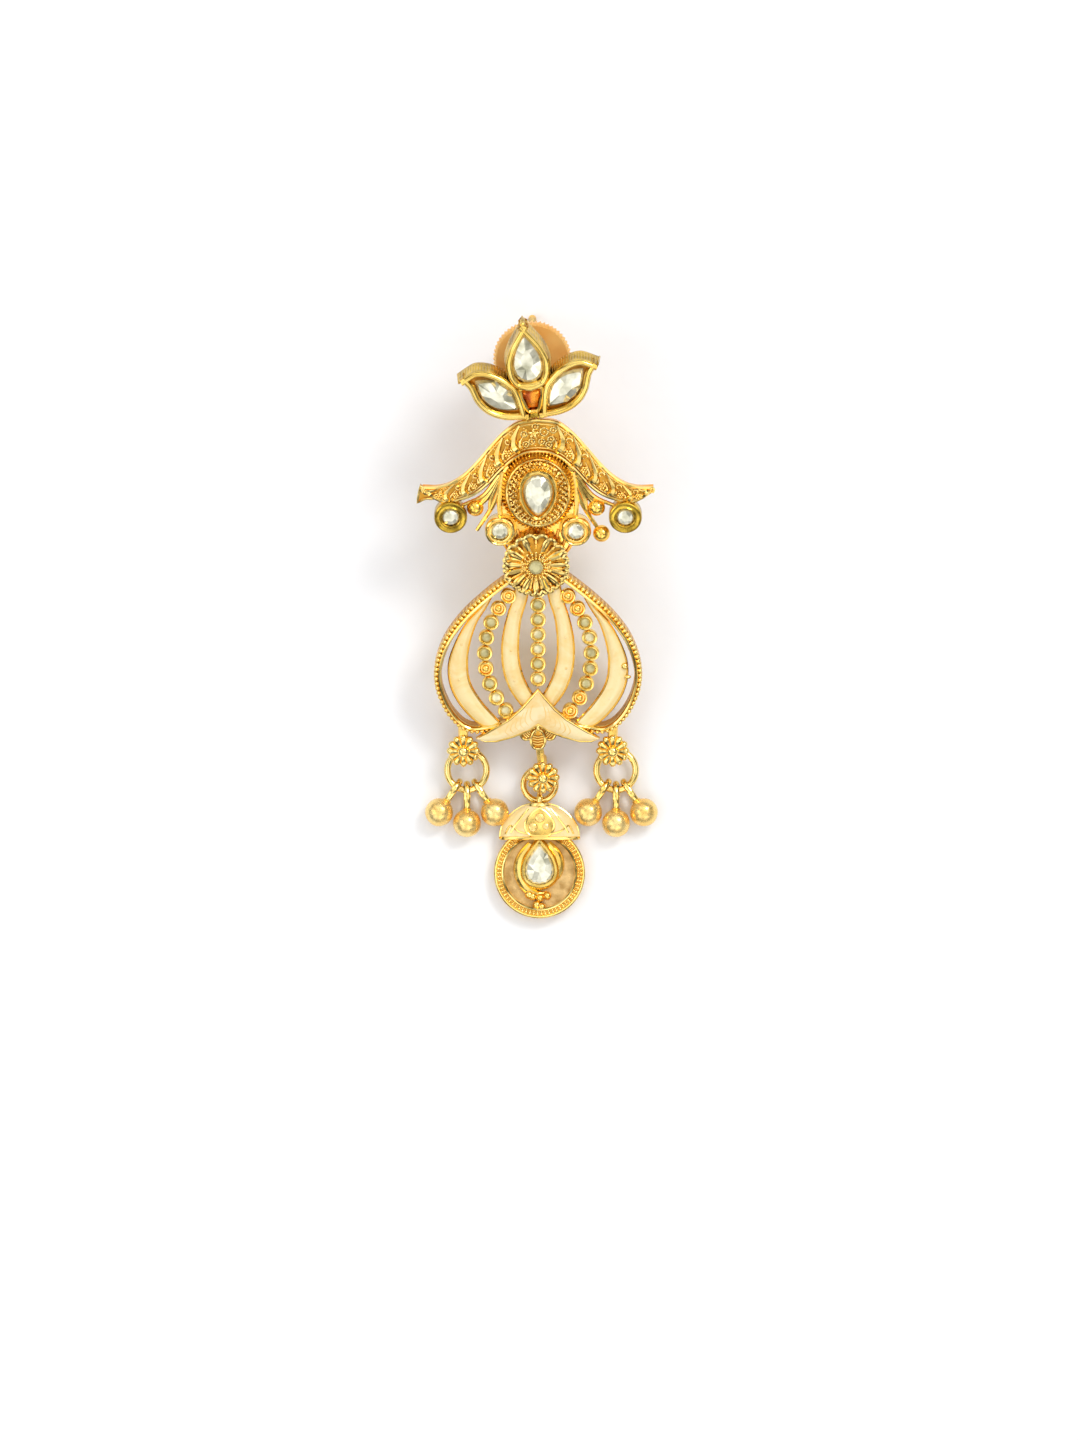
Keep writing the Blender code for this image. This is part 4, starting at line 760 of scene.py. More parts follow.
def edgeHeight(table, share):
    for (x0, y0), (x1, y1) in zip(table, table[1:]):
        if share <= x1:
            return y0 + (y1 - y0) * (share - x0) / (x1 - x0)
    return table[-1][1]


def leafPoint(u, v, margin, z):
    share = (2 * v - 1) * (1 - margin * 0.3)
    low, high = edgeHeight(leaf["lower"], abs(share)), edgeHeight(leaf["upper"], abs(share))
    u = margin + (1 - 2 * margin) * u
    return (share * leaf["halfSpan"], (low + (high - low) * u) * leaf["height"], z)


def makeLeaf():
    tray = shapeSheet("leafTray", 6, 64, lambda u, v: leafPoint(u, v, 0.0, leaf["top"] - 0.12), 0.44)
    settle(tray, "leafTray", "gold")

    def onEnamel(u, v):
        ridge = leaf["ridge"] * math.exp(-((2 * v - 1) * 9) ** 2)  # the two leaves meet in a soft ridge
        z = leaf["top"] + leaf["crown"] * math.sin(math.pi * u) ** 0.8 - 0.05 + ridge * u
        return leafPoint(u, v, 0.06, z)

    fill = shapeSheet("crossedLeaf", 12, 96, onEnamel, 0.14)
    settle(fill, "crossedLeaf", "leafEnamel", ["enamel_leaf"])
    arcs = []
    for side in (-1, 1):
        for i in range(leaf["arcs"]):
            place = 0.5 + side * (0.035 + 0.040 * i)
            line = []
            for k in range(9):
                x, y, z = onEnamel(0.16 + 0.66 * k / 8, place + side * 0.030 * math.sin(math.pi * k / 8))
                line.append((x, y, z - 0.015))
            arcs.append(bendWire("arc", line, leaf["arcWire"], sizes=leaf["arcSizes"], sides=1))
    settle(joinAll("leafArcs", arcs), "leafArcs", "arcEnamel")
    loop = mirrorLoop(scaleLoop(leaf["upper"] + leaf["lower"][-2::-1], leaf["halfSpan"], leaf["height"]))
    line = [(x, y, leaf["top"] - 0.02) for x, y in insetLoop(loop, leaf["wire"])]
    settle(bendWire("leafEdge", line, leaf["wire"], closed=True), "leafEdge", "wireGold")
    heel = cutPlate("leafHeel", insetLoop(loop, 0.25), blades["trayLow"], leaf["heelTop"])
    settle(heel, "leafHeel", "gold")


makeBulbRim()
makeBlades()
makeCups()
makeLeaf()
print("bulb made")


# Rosette

rosette = {
    "middle": (-0.2, 18.85),
    "inner": 0.85,
    "reach": 3.38,
    "petalTop": 2.05,
    "petalFoot": 1.0,
    "petalThick": 0.12,
    "dish": 0.30,
    "wire": 0.21,
    # for each petal: degrees round from the top, width, and reach as a share of the full one
    "petals": [
        (0, 2.45, 1.0), (43, 2.1, 1.0), (-43, 2.1, 1.0), (73, 1.45, 1.0), (-73, 1.45, 1.0),
        (97, 1.0, 1.0), (-97, 1.0, 1.0), (119, 1.35, 1.0), (-119, 1.35, 1.0),
        (144, 1.4, 0.98), (-144, 1.4, 0.98), (167, 1.35, 0.97), (-167, 1.35, 0.97),
    ],
    "petalLoop": [(0, 0), (0.14, 0.10), (0.32, 0.36), (0.48, 0.68), (0.42, 0.92), (0.20, 1.0), (0, 0.86)],
    "veinSizes": [1.0] * 6 + [1.3, 1.7, 1.0],
    "hub": [(0, 0.62), (2.5, 0.62), (2.6, 0.9), (2.4, 1.6), (1.2, 2.3), (0, 2.3)],
    "stamens": 20,
    "stamenLine": [(0, 0.7, 2.50), (0, 1.1, 2.58), (0, 1.45, 2.48)],
    "stamenHead": (0, 1.48, 2.48),
    "grains": 16,
    "grainPlace": (0, 0.93, 2.72),
    "stoneWidth": 1.48,
}


def makeRosette():
    wires, plates, veins = [], [], []
    inner = rosette["inner"]
    loop = smoothLine(mirrorLoop(rosette["petalLoop"]), 4, corners={0, 6})
    for i, (degrees, width, share) in enumerate(rosette["petals"]):
        turn = math.radians(degrees)
        length = rosette["reach"] * share - inner - rosette["wire"]
        top = rosette["petalTop"] + 0.10 * (i // 2 % 2)  # every other pair lies a little higher
        shape = scaleLoop(loop, width, length, 0, inner)
        rim = bendWire("rim", [(x, y, top) for x, y in shape], rosette["wire"], closed=True)
        wires.append(moved(rim, turn=turn))

        def onPetal(u, v):
            # the loop's two halves, joined across, dished towards the middle
            right = sampleLine(rosette["petalLoop"], v)
            dish = rosette["dish"] * (1 - (2 * u - 1) ** 2) * math.sin(math.pi * v)
            return (right.x * width * (2 * u - 1), inner + right.y * length, top - 0.05 - dish)

        petal = shapeSheet("petal", 6, 14, onPetal, rosette["petalThick"])
        plates.append(moved(petal, turn=turn))
        under = cutPlate("under", shape, rosette["petalFoot"], top - 0.36)
        plates.append(moved(under, turn=turn))
        line = []
        for k in range(9):
            line.append((0, inner + length * 0.80 * k / 8, top - 0.10 - 0.08 * math.sin(math.pi * k / 8)))
        girth = 0.10 if width < 2 else 0.13
        veins.append(moved(bendWire("vein", line, girth, sizes=rosette["veinSizes"], sides=1), turn=turn))
    space = dropSpace @ spot((*rosette["middle"], 0))
    plates.append(spinProfile("hub", rosette["hub"], 40))
    settle(joinAll("rosettePetals", plates), "rosettePetals", "shadeGold", space=space)
    settle(joinAll("rosetteWires", wires), "rosetteWires", "wireGold", space=space)
    settle(joinAll("rosetteVeins", veins), "rosetteVeins", "gold", space=space)
    count = rosette["stamens"]
    stamen = joinAll("stamen", [
        bendWire("stem", rosette["stamenLine"], 0.085, sizes=[0.8, 1, 1.1], sides=1),
        roundBall("head", 0.17, 8, 6, place=rosette["stamenHead"]),
    ])
    places = [spot((0, 0, 0), 2 * math.pi * i / count, (1, 1 - 0.1 * (i % 2), 1)) for i in range(count)]
    settle(layCopies("stamens", stamen, places), "rosetteStamens", "wireGold", space=space)
    grain = roundBall("grain", 0.16, 8, 6, place=rosette["grainPlace"])
    settle(layCopies("ring", grain, around(rosette["grains"])), "rosetteGrains", "gold", space=space)
    loop = ovalLoop(rosette["stoneWidth"], rosette["stoneWidth"], 14)
    settleStone("rosetteStone", "stone_rosette", loop, 2.45, 3.0, 0.55, finish="cupStone", space=space)


makeRosette()
print("rosette made")


# Canopy band with its scrollwork

canopy = {
    "halfSpan": 11.5,
    "top": 34.0,
    "drop": 9.0,
    "face": 1.15,
    "crown": 0.40,
    "outer": [
        (0.000, 0.000), (0.160, 0.030), (0.285, 0.140), (0.395, 0.290), (0.515, 0.480),
        (0.630, 0.640), (0.750, 0.750), (0.870, 0.800), (1.000, 0.805),
    ],
    "inner": [
        (0.000, 0.390), (0.105, 0.405), (0.215, 0.480), (0.325, 0.610), (0.425, 0.755),
        (0.545, 0.880), (0.670, 0.945), (0.790, 0.980), (0.890, 0.930), (0.985, 0.84),
    ],
    "bandThick": 0.45,
    # for each border wire: its place across the band, its radius and its lift
    "edges": [(0.965, 0.19, 0.12), (0.86, 0.085, 0.04), (0.035, 0.18, 0.12), (0.15, 0.085, 0.04)],
    # for each wall: its place across the band, and how far it draws in towards the back
    "walls": [(0.985, 0.26), (0.015, 0.0)],
    "wallHalf": 0.12,
    "wallLow": 0.03,
    "wallTop": 1.30,
    "backTop": 0.32,
    "backThick": 0.24,
    "leaves": 6,
    "firstLeaf": 0.13,
    "leafPitch": 0.150,
    # the strokes of one leaf: where each starts and how far it reaches along the band, where it starts
    # and ends across it, its bend and its girth
    "commas": [
        (0.0, 0.030, 0.90, 0.16, 0.055, 0.36),
        (0.036, 0.030, 0.72, 0.22, 0.040, 0.20),
        (-0.022, 0.022, 0.58, 0.20, 0.030, 0.18),
    ],
    "curlSizes": [0.6, 0.9, 1, 1, 1, 1, 1, 1, 1.1, 1.3, 1.7],
    # the eyelets at the top: place along the band and across it, and radius
    "eyelets": [
        (0.045, 0.66, 0.40), (-0.105, 0.62, 0.28), (0.10, 0.46, 0.28),
        (-0.05, 0.36, 0.28), (0.03, 0.36, 0.28), (-0.02, 0.80, 0.28),
        (0.09, 0.28, 0.28), (-0.10, 0.30, 0.28), (0.11, 0.74, 0.28),
    ],
    "flower": (-0.035, 0.60),
    "grains": 150,
    # the fishtail that ends the left tip
    "tail": [
        (-10.45, 26.62), (-11.15, 26.50), (-11.72, 26.96),
        (-12.02, 25.22), (-11.20, 25.62), (-10.45, 25.60),
    ],
    "tailLow": 0.55,
    "tailRoll": [(-10.75, 26.02, 1.36), (-11.2, 26.30, 1.44), (-11.66, 26.74, 1.40)],
    "eye": (-0.39, 32.0, -0.7),
}


def bandPoint(along, across, z=None):
    # along runs from -1 at the left tip to 1 at the right one, across from the inner edge to the outer
    side = 1 if along >= 0 else -1
    inner, outer = sampleLine(canopy["inner"], abs(along)), sampleLine(canopy["outer"], abs(along))
    share = inner.lerp(outer, across)
    if z is None:
        z = canopy["face"] + canopy["crown"] * math.sin(math.pi * min(max(across, 0), 1)) ** 0.7
    return Vector((side * share.x * canopy["halfSpan"], canopy["top"] - share.y * canopy["drop"], z))


def bandStroke(along, across, steps, sway, radius):
    # A tapered stroke of relief, from one place on the band towards another
    points, sizes = [], []
    for k in range(steps + 1):
        t = k / steps
        a = along[0] + (along[1] - along[0]) * t + sway * math.sin(math.pi * t)
        points.append(raised(bandPoint(a, across[0] + (across[1] - across[0]) * t), radius * 0.8))
        sizes.append(0.35 + 1.25 * math.sin(math.pi * min(1, 0.12 + 0.95 * (1 - t))) * (1 - 0.7 * (1 - t)))
    return bendWire("stroke", points, radius, sizes=sizes, sides=1)


def makeCanopy():
    sheet = shapeSheet("canopyBand", 10, 160, lambda u, v: bandPoint(2 * v - 1, u), canopy["bandThick"])
    settle(sheet, "canopyBand", "shadeGold")
    alongs = [i / 60 * 2 - 1 for i in range(61)]
    edges = []
    for across, radius, lift in canopy["edges"]:
        edges.append(bendWire("edge", [raised(bandPoint(a, across), lift) for a in alongs], radius))
    settle(joinAll("canopyEdges", edges), "canopyEdges", "wireGold")
    half, low, top = canopy["wallHalf"], canopy["wallLow"], canopy["wallTop"]
    walls = []
    for across, foot in canopy["walls"]:
        section = [(foot - half, low), (foot + half, low), (half, top), (-half, top)]
        line = [bandPoint(a, across, 0.0) for a in alongs]
        walls.append(sweepProfile("wall", line, section, closed=False))
    # the walls take the darker orange gold as painted shade
    settle(joinAll("canopyWalls", walls), "canopyWalls", "orangeShadeGold")

    def onBack(u, v):
        return bandPoint(2 * v - 1, 0.03 + 0.88 * u, canopy["backTop"])

    # the band's back takes the darker orange gold as painted shade
    settle(shapeSheet("canopyBack", 4, 120, onBack, canopy["backThick"]), "canopyBack", "orangeShadeGold")


def scrollLeaf(side, place):
    # One leaf of the scroll: a fat comma with two slimmer ones beside it, then a curl and a few grains
    wide = 1 - 0.45 * place
    strokes, turns = [], []
    for shift, reach, start, end, bend, girth in canopy["commas"]:
        along = (side * (place + shift), side * (place + shift + reach))
        strokes.append(bandStroke(along, (start, end), 10, side * bend, girth * wide))
    middle = bandPoint(side * (place + 0.112), 0.68)
    for k in range(11):
        angle = k * 0.55
        reach = (0.46 - 0.07 * angle) * wide
        turns.append(middle + Vector((math.cos(side * angle) * reach, math.sin(side * angle) * reach, 0.1)))
    curls = [bendWire("curl", turns, 0.13 * wide, sizes=canopy["curlSizes"], sides=1)]
    middle = raised(bandPoint(side * (place + 0.128), 0.34), 0.1)
    for k in range(7):
        reach = 0.30 * wide if k < 6 else 0
        away = Vector((math.cos(k * math.pi / 3), math.sin(k * math.pi / 3), 0.2)) * reach
        curls.append(roundBall("grain", 0.16 * wide, 10, 8, place=middle + away))
    eyelet, seed = bandPoint(side * (place + 0.075), 0.82), bandPoint(side * (place + 0.052), 0.52)
    curls.append(ringWire("eyelet", 0.20 * wide, 0.08 * wide, 16, 6, place=raised(eyelet, 0.06)))
    curls.append(roundBall("seed", 0.20 * wide, 10, 8, (1, 1.5, 0.8), raised(seed, 0.06)))
    return strokes, curls


def makeScrolls():
    strokes, curls = [], []
    for side in (-1, 1):
        for i in range(canopy["leaves"]):
            leafStrokes, leafCurls = scrollLeaf(side, canopy["firstLeaf"] + canopy["leafPitch"] * i)
            strokes += leafStrokes
            curls += leafCurls
    settle(joinAll("canopyLeaves", strokes), "canopyLeaves", "wireGold")
    for along, across, radius in canopy["eyelets"]:
        middle = bandPoint(along, across)
        curls.append(ringWire("eyelet", radius, 0.10, 20, 8, place=raised(middle, 0.08)))
        curls.append(roundBall("eyeletBead", 0.14, 10, 8, place=raised(middle, 0.1)))
    settle(joinAll("canopyCurls", curls), "canopyCurls", "wireGold")
    middle = raised(bandPoint(*canopy["flower"]), 0.12)
    petal = roundBall("petal", 0.24, 10, 8, (0.75, 1.25, 0.7), (0, 0.30, 0))
    petals = layCopies("petals", petal, around(5, middle))
    eye = roundBall("eye", 0.14, 10, 8, place=raised(middle, 0.1))
    settle(joinAll("flower", [petals, eye]), "canopyFlower", "wireGold")
    scatter = []
    for _ in range(canopy["grains"]):
        along, across = random.uniform(-0.95, 0.95), random.uniform(0.2, 0.82)
        size = random.uniform(0.06, 0.12)
        turn, long = random.uniform(0, 3), random.uniform(1, 1.7)
        scatter.append(spot(raised(bandPoint(along, across), 0.02), turn, (size, size * long, size)))
    settle(layCopies("canopyGrains", roundBall("grain", 1.0, 6, 5), scatter), "canopyGrains", "gold")


def makeTail():
    tail = smoothLine(canopy["tail"], 4, corners={0, 2, 3, 5})
    settle(cutPlate("tail", tail, canopy["tailLow"], canopy["wallTop"]), "canopyTail", "shadeGold")
    edge = bendWire("tailEdge", [(x, y, canopy["wallTop"] + 0.04) for x, y in tail], 0.14, closed=True)
    roll = bendWire("roll", canopy["tailRoll"], 0.27, sizes=[0.6, 1.0, 1.05])
    settle(joinAll("canopyTailEdge", [edge, roll]), "canopyTailEdge", "wireGold")
    eye = ringWire("canopyEye", 0.62, 0.22, 32, 10, upright=True, place=canopy["eye"])
    settle(eye, "canopyEye", "gold")


makeCanopy()
makeScrolls()
makeTail()
print("canopy made")


# Medallion, bezels, balls and skirt

medallion = {
    "middle": (0.0, 26.5),
    "halfWidth": 3.65,
    "halfHeight": 4.1,
    "section": [
        (0, 0.22), (3.45, 0.22), (3.68, 0.5), (3.68, 1.10), (3.30, 1.78), (3.20, 1.80), (3.17, 2.00),
        (3.05, 2.12), (2.9, 2.10), (2.8, 2.02), (2.6, 2.2), (1.9, 2.66), (0, 2.66),
    ],
    "ribs": 62,
    "rib": [(3.66, 0, 0.55), (3.70, 0, 1.10), (3.50, 0, 1.50), (3.26, 0, 1.86)],
    "ribWire": 0.11,
    # the wire at the step: its share of the oval, its height and its radius
    "step": (0.845, 2.06, 0.13),
    # for each row of scrolls: its share of the oval, its height, its size and how many
    "rows": [(0.755, 2.22, 1.05, 34), (0.665, 2.42, 0.9, 30), (0.60, 2.58, 0.7, 26)],
    "scroll": [(-0.28, -0.06, 0), (-0.10, 0.07, 0.09), (0.08, 0.08, 0.10), (0.26, -0.10, 0)],
    "bezelSection": [
        (0.44, 1.9), (0.48, 2.75), (0.40, 3.08), (0.20, 3.26), (0.04, 3.12), (0.0, 2.4), (0.0, 1.9),
    ],
    "stone": (2.95, 4.3),
}


def onOval(angle, share, z):
    x, y = medallion["middle"]
    x += medallion["halfWidth"] * share * math.cos(angle)
    y += medallion["halfHeight"] * share * math.sin(angle)
    return (x, y, z)


def ovalTurn(angle):
    return math.atan2(math.sin(angle) * medallion["halfWidth"], math.cos(angle) * medallion["halfHeight"])


def makeMedallion():
    middle = (*medallion["middle"], 0)
    stretch = (1, medallion["halfHeight"] / medallion["halfWidth"], 1)
    drum = moved(spinProfile("drum", medallion["section"], 72), middle, stretch=stretch)
    settle(drum, "medallionDrum", "shadeGold")
    rib = bendWire("rib", medallion["rib"], medallion["ribWire"], sides=1)
    ribs = layCopies("ribs", rib, around(medallion["ribs"]))
    settle(moved(ribs, middle, stretch=stretch), "medallionRibs", "wireGold")
    share, z, wire = medallion["step"]
    step = [onOval(2 * math.pi * i / 96, share, z) for i in range(96)]
    settle(bendWire("step", step, wire, closed=True), "medallionStep", "wireGold")
    bumps = []
    for row, (share, z, size, count) in enumerate(medallion["rows"]):
        for i in range(count):
            angle = 2 * math.pi * (i + 0.5 * row) / count
            turn = ovalTurn(angle) + random.uniform(-0.7, 0.7)
            bumps.append(spot(onOval(angle, share, z), turn, (size * random.uniform(0.8, 1.2), size, 1)))
    bump = joinAll("bump", [
        bendWire("scroll", medallion["scroll"], 0.12, sizes=[0.4, 1, 1.1, 0.5], sides=1),
        roundBall("seed", 0.12, 8, 6, place=(0.05, -0.14, 0.05)),
    ])
    settle(layCopies("bumps", bump, bumps), "medallionScrolls", "wireGold")
    width, length = medallion["stone"]
    ring = scaleLoop(pearLoop(width + 0.16, length + 0.20, 64, -1, 0.42), 1, 1, *medallion["middle"])
    settle(sweepProfile("bezel", ring, medallion["bezelSection"]), "medallionBezel", "ridgeGold")
    loop = pearLoop(width, length, 18, -1, 0.52)
    settleStone("medallionStone", "stone_medallion", loop, 2.3, 3.28, 0.48, middle)


bezels = {
    "outer": {
        "x": 8.7,
        "y": 23.8,
        "finish": "oliveGold",
        "section": [
            (0.5, 0.22), (1.55, 0.22), (1.65, 0.40), (1.65, 1.78), (1.58, 1.93), (1.46, 1.99), (1.34, 1.93),
            (1.12, 1.90), (1.02, 1.98), (0.94, 1.94), (0.88, 1.70), (0.88, 1.42), (0.5, 1.42),
        ],
    },
    "inner": {
        "x": 3.78,
        "y": 22.3,
        "finish": "wireGold",
        "section": [
            (0.5, 0.22), (1.44, 0.22), (1.52, 0.4), (1.52, 1.72), (1.44, 1.92), (1.32, 1.98), (1.21, 1.90),
            (1.14, 1.74), (1.08, 1.74), (1.02, 1.86), (0.95, 1.84), (0.90, 1.6), (0.90, 1.38), (0.5, 1.38),
        ],
    },
}
bezelStone = {"width": 1.72, "low": 1.36, "top": 1.92, "table": 0.5, "turn": 0.2}


def makeBezels():
    width, low, top, table = (bezelStone[key] for key in ("width", "low", "top", "table"))
    for kind, facts in bezels.items():
        for side, hand in hands:
            place = (side * facts["x"], facts["y"], 0)
            shell = moved(spinProfile("bezel", facts["section"], 48, closed=True), place)
            name = f"{kind}Bezel{hand.title()}"
            settle(shell, name, facts["finish"])
            loop = ovalLoop(width, width, 12, bezelStone["turn"] * side)
            settleStone(name + "Stone", f"stone_bezel_{hand}_{kind}", loop, low, top, table, place)


stems = {
    "ballRadius": 0.86,
    "height": 1.1,
    "wire": 0.23,
    "balls": [(-0.543, 1.045), (0.508, 1.040), (0.550, 1.345)],
    # x and y as shares of half the canopy's span and of its drop
    "lines": [
        [(0.255, 0.56), (0.385, 0.80), (0.500, 1.000)],
        [(0.290, 0.66), (0.385, 1.000), (0.530, 1.310)],
        [(0.300, 0.62), (0.335, 0.98), (0.325, 1.180)],
        [(0.330, 0.66), (0.470, 0.90), (0.660, 1.02)],
        [(0.310, 0.64), (0.400, 0.92), (0.420, 1.10)],
        [(0.340, 0.70), (0.440, 0.93), (0.560, 1.07)],
    ],
    "skirt": [(0.300, 0.80), (0.345, 1.120), (0.380, 1.330), (0.270, 1.480), (0.220, 1.700)],
    "skirtRib": [(4.1, 22.3, 1.06), (3.4, 20.8, 1.12), (2.2, 18.9, 1.06)],
}


def canopyPlace(a, b, side=1):
    return (side * a * canopy["halfSpan"], canopy["top"] - b * canopy["drop"])


def makeStems():
    parts = []
    for side in (-1, 1):
        for k, line in enumerate(stems["lines"]):
            points = [(*canopyPlace(a, b, side), stems["height"] + 0.12 * (k == 2)) for a, b in line]
            points = smoothLine(points, 8, closed=False)
            sizes = [1.35 - 0.5 * i / (len(points) - 1) for i in range(len(points))]
            parts.append(bendWire("stem", points, stems["wire"], sizes=sizes))
    settle(joinAll("stemWires", parts), "stemWires", "gold")
    for i, ball in enumerate(stems["balls"]):
        ball = roundBall("ball", stems["ballRadius"], 40, 28, place=(*canopyPlace(*ball), stems["height"]))
        settle(ball, f"canopyBall{i + 1}", "gold")
    half = [canopyPlace(a, b) for a, b in stems["skirt"]]
    plate = cutPlate("skirt", half + [(-x, y) for x, y in reversed(half)], 0.12, 1.05, 0.1)
    settle(plate, "skirtPlate", "gold")
    ribs = []
    for i in range(9):
        share = i / 8 * 2 - 1
        ribs.append(bendWire("rib", [(share * x, y, z) for x, y, z in stems["skirtRib"]], 0.16, sides=1))
    # the skirt's ribs take the darker orange gold as painted shade
    settle(joinAll("skirtRibs", ribs), "skirtRibs", "orangeShadeGold")


makeMedallion()
makeBezels()
makeStems()
print("medallion and bezels made")


# Daisies, bails, palmette

daisy = {
    "radius": 1.70,
    "petals": 12,
    "thick": 1.3,
    "sideX": 7.45,
    "sideY": -0.9,
    "sideLow": 0.6,
    "centre": (0.5, -3.52),
    "centreLow": 1.19,
    "bailRadius": 1.1,
    "bailWire": 0.4,
    "sideBail": (-1.6, -0.5),
    "centreBail": (-3.3, 0.091),
}


def makeDaisy(name, x, y, low):
    high, reach = low + daisy["thick"], daisy["radius"]
    places = around(daisy["petals"])
    neck = [(0, 0.40, high - 0.30), (0, 0.8, high - 0.20), (0, reach - 0.5, high - 0.30)]
    petal = joinAll("petal", [
        roundBall("tip", 0.38, 16, 12, (0.95, 1, 1.0), (0, reach - 0.39, high - 0.38)),
        bendWire("neck", neck, 0.29, sizes=[0.45, 0.75, 1.15]),
    ])
    petals = layCopies("petals", petal, places)
    rib = roundBall("rib", 0.27, 8, 6, (0.85, 0.9, 2.0), (0, reach - 0.42, low + 0.54))
    ribs = layCopies("ribs", rib, places)
    section = [
        (0, low + 0.02), (1.15, low + 0.02), (1.25, low + 0.2),
        (1.2, high - 0.55), (0.6, high - 0.42), (0, high - 0.42),
    ]
    core = spinProfile("core", section, 36)
    ball = roundBall("eye", 0.58, 24, 16, (1, 1, 0.8), (0, 0, high + 0.04))
    settle(moved(joinAll(name, [petals, ball]), (x, y, 0)), name, "wireGold")
    # the daisy's core and the ribs under its petals take the darker orange gold as painted shade
    settle(moved(joinAll(name, [core, ribs]), (x, y, 0)), name + "Back", "orangeShadeGold")


def makeBail(name, place, arm, girth):
    hoop = ringWire("bail", daisy["bailRadius"], daisy["bailWire"], 40, 16, upright=True, place=place)
    settle(joinAll("bail", [hoop, bendWire("arm", arm, girth)]), name, "gold")


def makeDaisies():
    for side, hand in hands:
        x, y = side * daisy["sideX"], daisy["sideY"]
        makeDaisy("daisy" + hand.title(), x, y, daisy["sideLow"])
        root = (side * bulb["halfWidth"] * 0.72, bulb["height"] * 0.095, 1.0)
        arm = [root, (x, y + 0.9, 1.1), (x, y, 1.0)]
        makeBail("bail" + hand.title(), (x, *daisy["sideBail"]), arm, 0.5)
    x, y = daisy["centre"]
    makeDaisy("daisyCentre", x, y, daisy["centreLow"])
    arm = [(0, 0.5, 0.75), (0.2, -1.2, 0.85), (x, y, 1.6)]
    makeBail("bailCentre", (x, *daisy["centreBail"]), arm, 0.40)


palmette = {
    "lobe": [(0, 0), (0.36, 0.15), (0.62, 0.55), (0.62, 0.95), (0.36, 1.25), (0, 1.30)],
    "wire": 0.14,
    # for each lobe: its root, which way it points, its width and length as shares, and its height
    "lobes": [
        ((-0.30, 1.50, 0), 2.12, 0.95, 1.22, 1.80),
        ((0.30, 1.50, 0), -2.12, 0.95, 1.22, 1.80),
        ((0.0, 1.55, 0), math.pi, 1.08, 1.58, 2.05),
    ],
    "foot": 0.9,
    "bars": 4,
    # one bar: share of the lobe's width, then its rise along the lobe and its place under the rim
    "bar": [(-0.45, -0.06, -0.10), (0, 0.04, -0.04), (0.45, -0.06, -0.10)],
    "barWire": 0.07,
}


def makePalmette():
    wires, fills = [], []
    loop = smoothLine(mirrorLoop(palmette["lobe"]), 4, corners={0})
    for root, turn, wide, long, top in palmette["lobes"]:
        shape = scaleLoop(loop, wide, long)
        rim = bendWire("lobe", [(x, y, top) for x, y in shape], palmette["wire"], closed=True)
        wires.append(moved(rim, root, turn))
        fills.append(moved(cutPlate("fill", shape, palmette["foot"], top - 0.16), root, turn))
        for k in range(palmette["bars"]):
            y = long * (0.50 + 0.17 * k)
            bar = [(share * wide, y + rise, top + lift) for share, rise, lift in palmette["bar"]]
            wires.append(moved(bendWire("bar", bar, palmette["barWire"], sides=1), root, turn))
    wires.append(roundBall("topBead", 0.24, 16, 12, (1, 1.6, 1), (0.0, 1.72, 2.14)))
    settle(joinAll("palmetteWires", wires), "palmetteWires", "wireGold")
    settle(joinAll("palmetteFill", fills), "palmetteFill", "shadeGold")


makeDaisies()
makePalmette()
print("daisies made")


# Stud flower, post and nut

flower = {
    "depth": 2.8,
    "seat": 1.5,
    "wall": 0.7,
    "petalHeight": 8.0,
    "petalHalf": 2.35,
    "reach": 7.2,
    "topPetal": [
        (0.00, 1.00), (0.30, 0.870), (0.72, 0.690), (0.96, 0.530),
        (1.00, 0.400), (0.90, 0.250), (0.60, 0.130), (0.00, 0.095),
    ],
    "leafPetal": [
        (0.060, -0.330), (0.200, -0.318), (0.380, -0.300), (0.555, -0.240), (0.705, -0.130),
        (0.812, 0.030), (0.880, 0.230), (1.000, 0.375), (0.870, 0.450), (0.730, 0.505),
        (0.560, 0.480), (0.400, 0.400), (0.260, 0.285), (0.140, 0.110),
    ],
    "heart": [(0.150, 0.135), (0.142, 0.020), (0.070, -0.170), (0.0, -0.185)],
    "foot": [(0.32, 0.24), (0.34, -0.24), (0.20, -0.33), (0, -0.34)],
    "topStone": (3.12, 5.3, (0.0, 4.15, 0)),
    "sideStone": (2.75, 5.3, (3.42, 0.62, 0)),
    "sideTilt": math.radians(49),
    "ribPitch": 0.31,
    "ribWire": 0.10,
}


def petalLoops():
    top = scaleLoop(flower["topPetal"], flower["petalHalf"], flower["petalHeight"])
    top = smoothLine(mirrorLoop(top), 6, corners={0})
    right = smoothLine(scaleLoop(flower["leafPetal"], flower["reach"], flower["reach"]), 6, corners={0, 7})
    left = [(-x, y) for x, y in right]
    return [counterClockwise(loop) for loop in (top, right, left)]


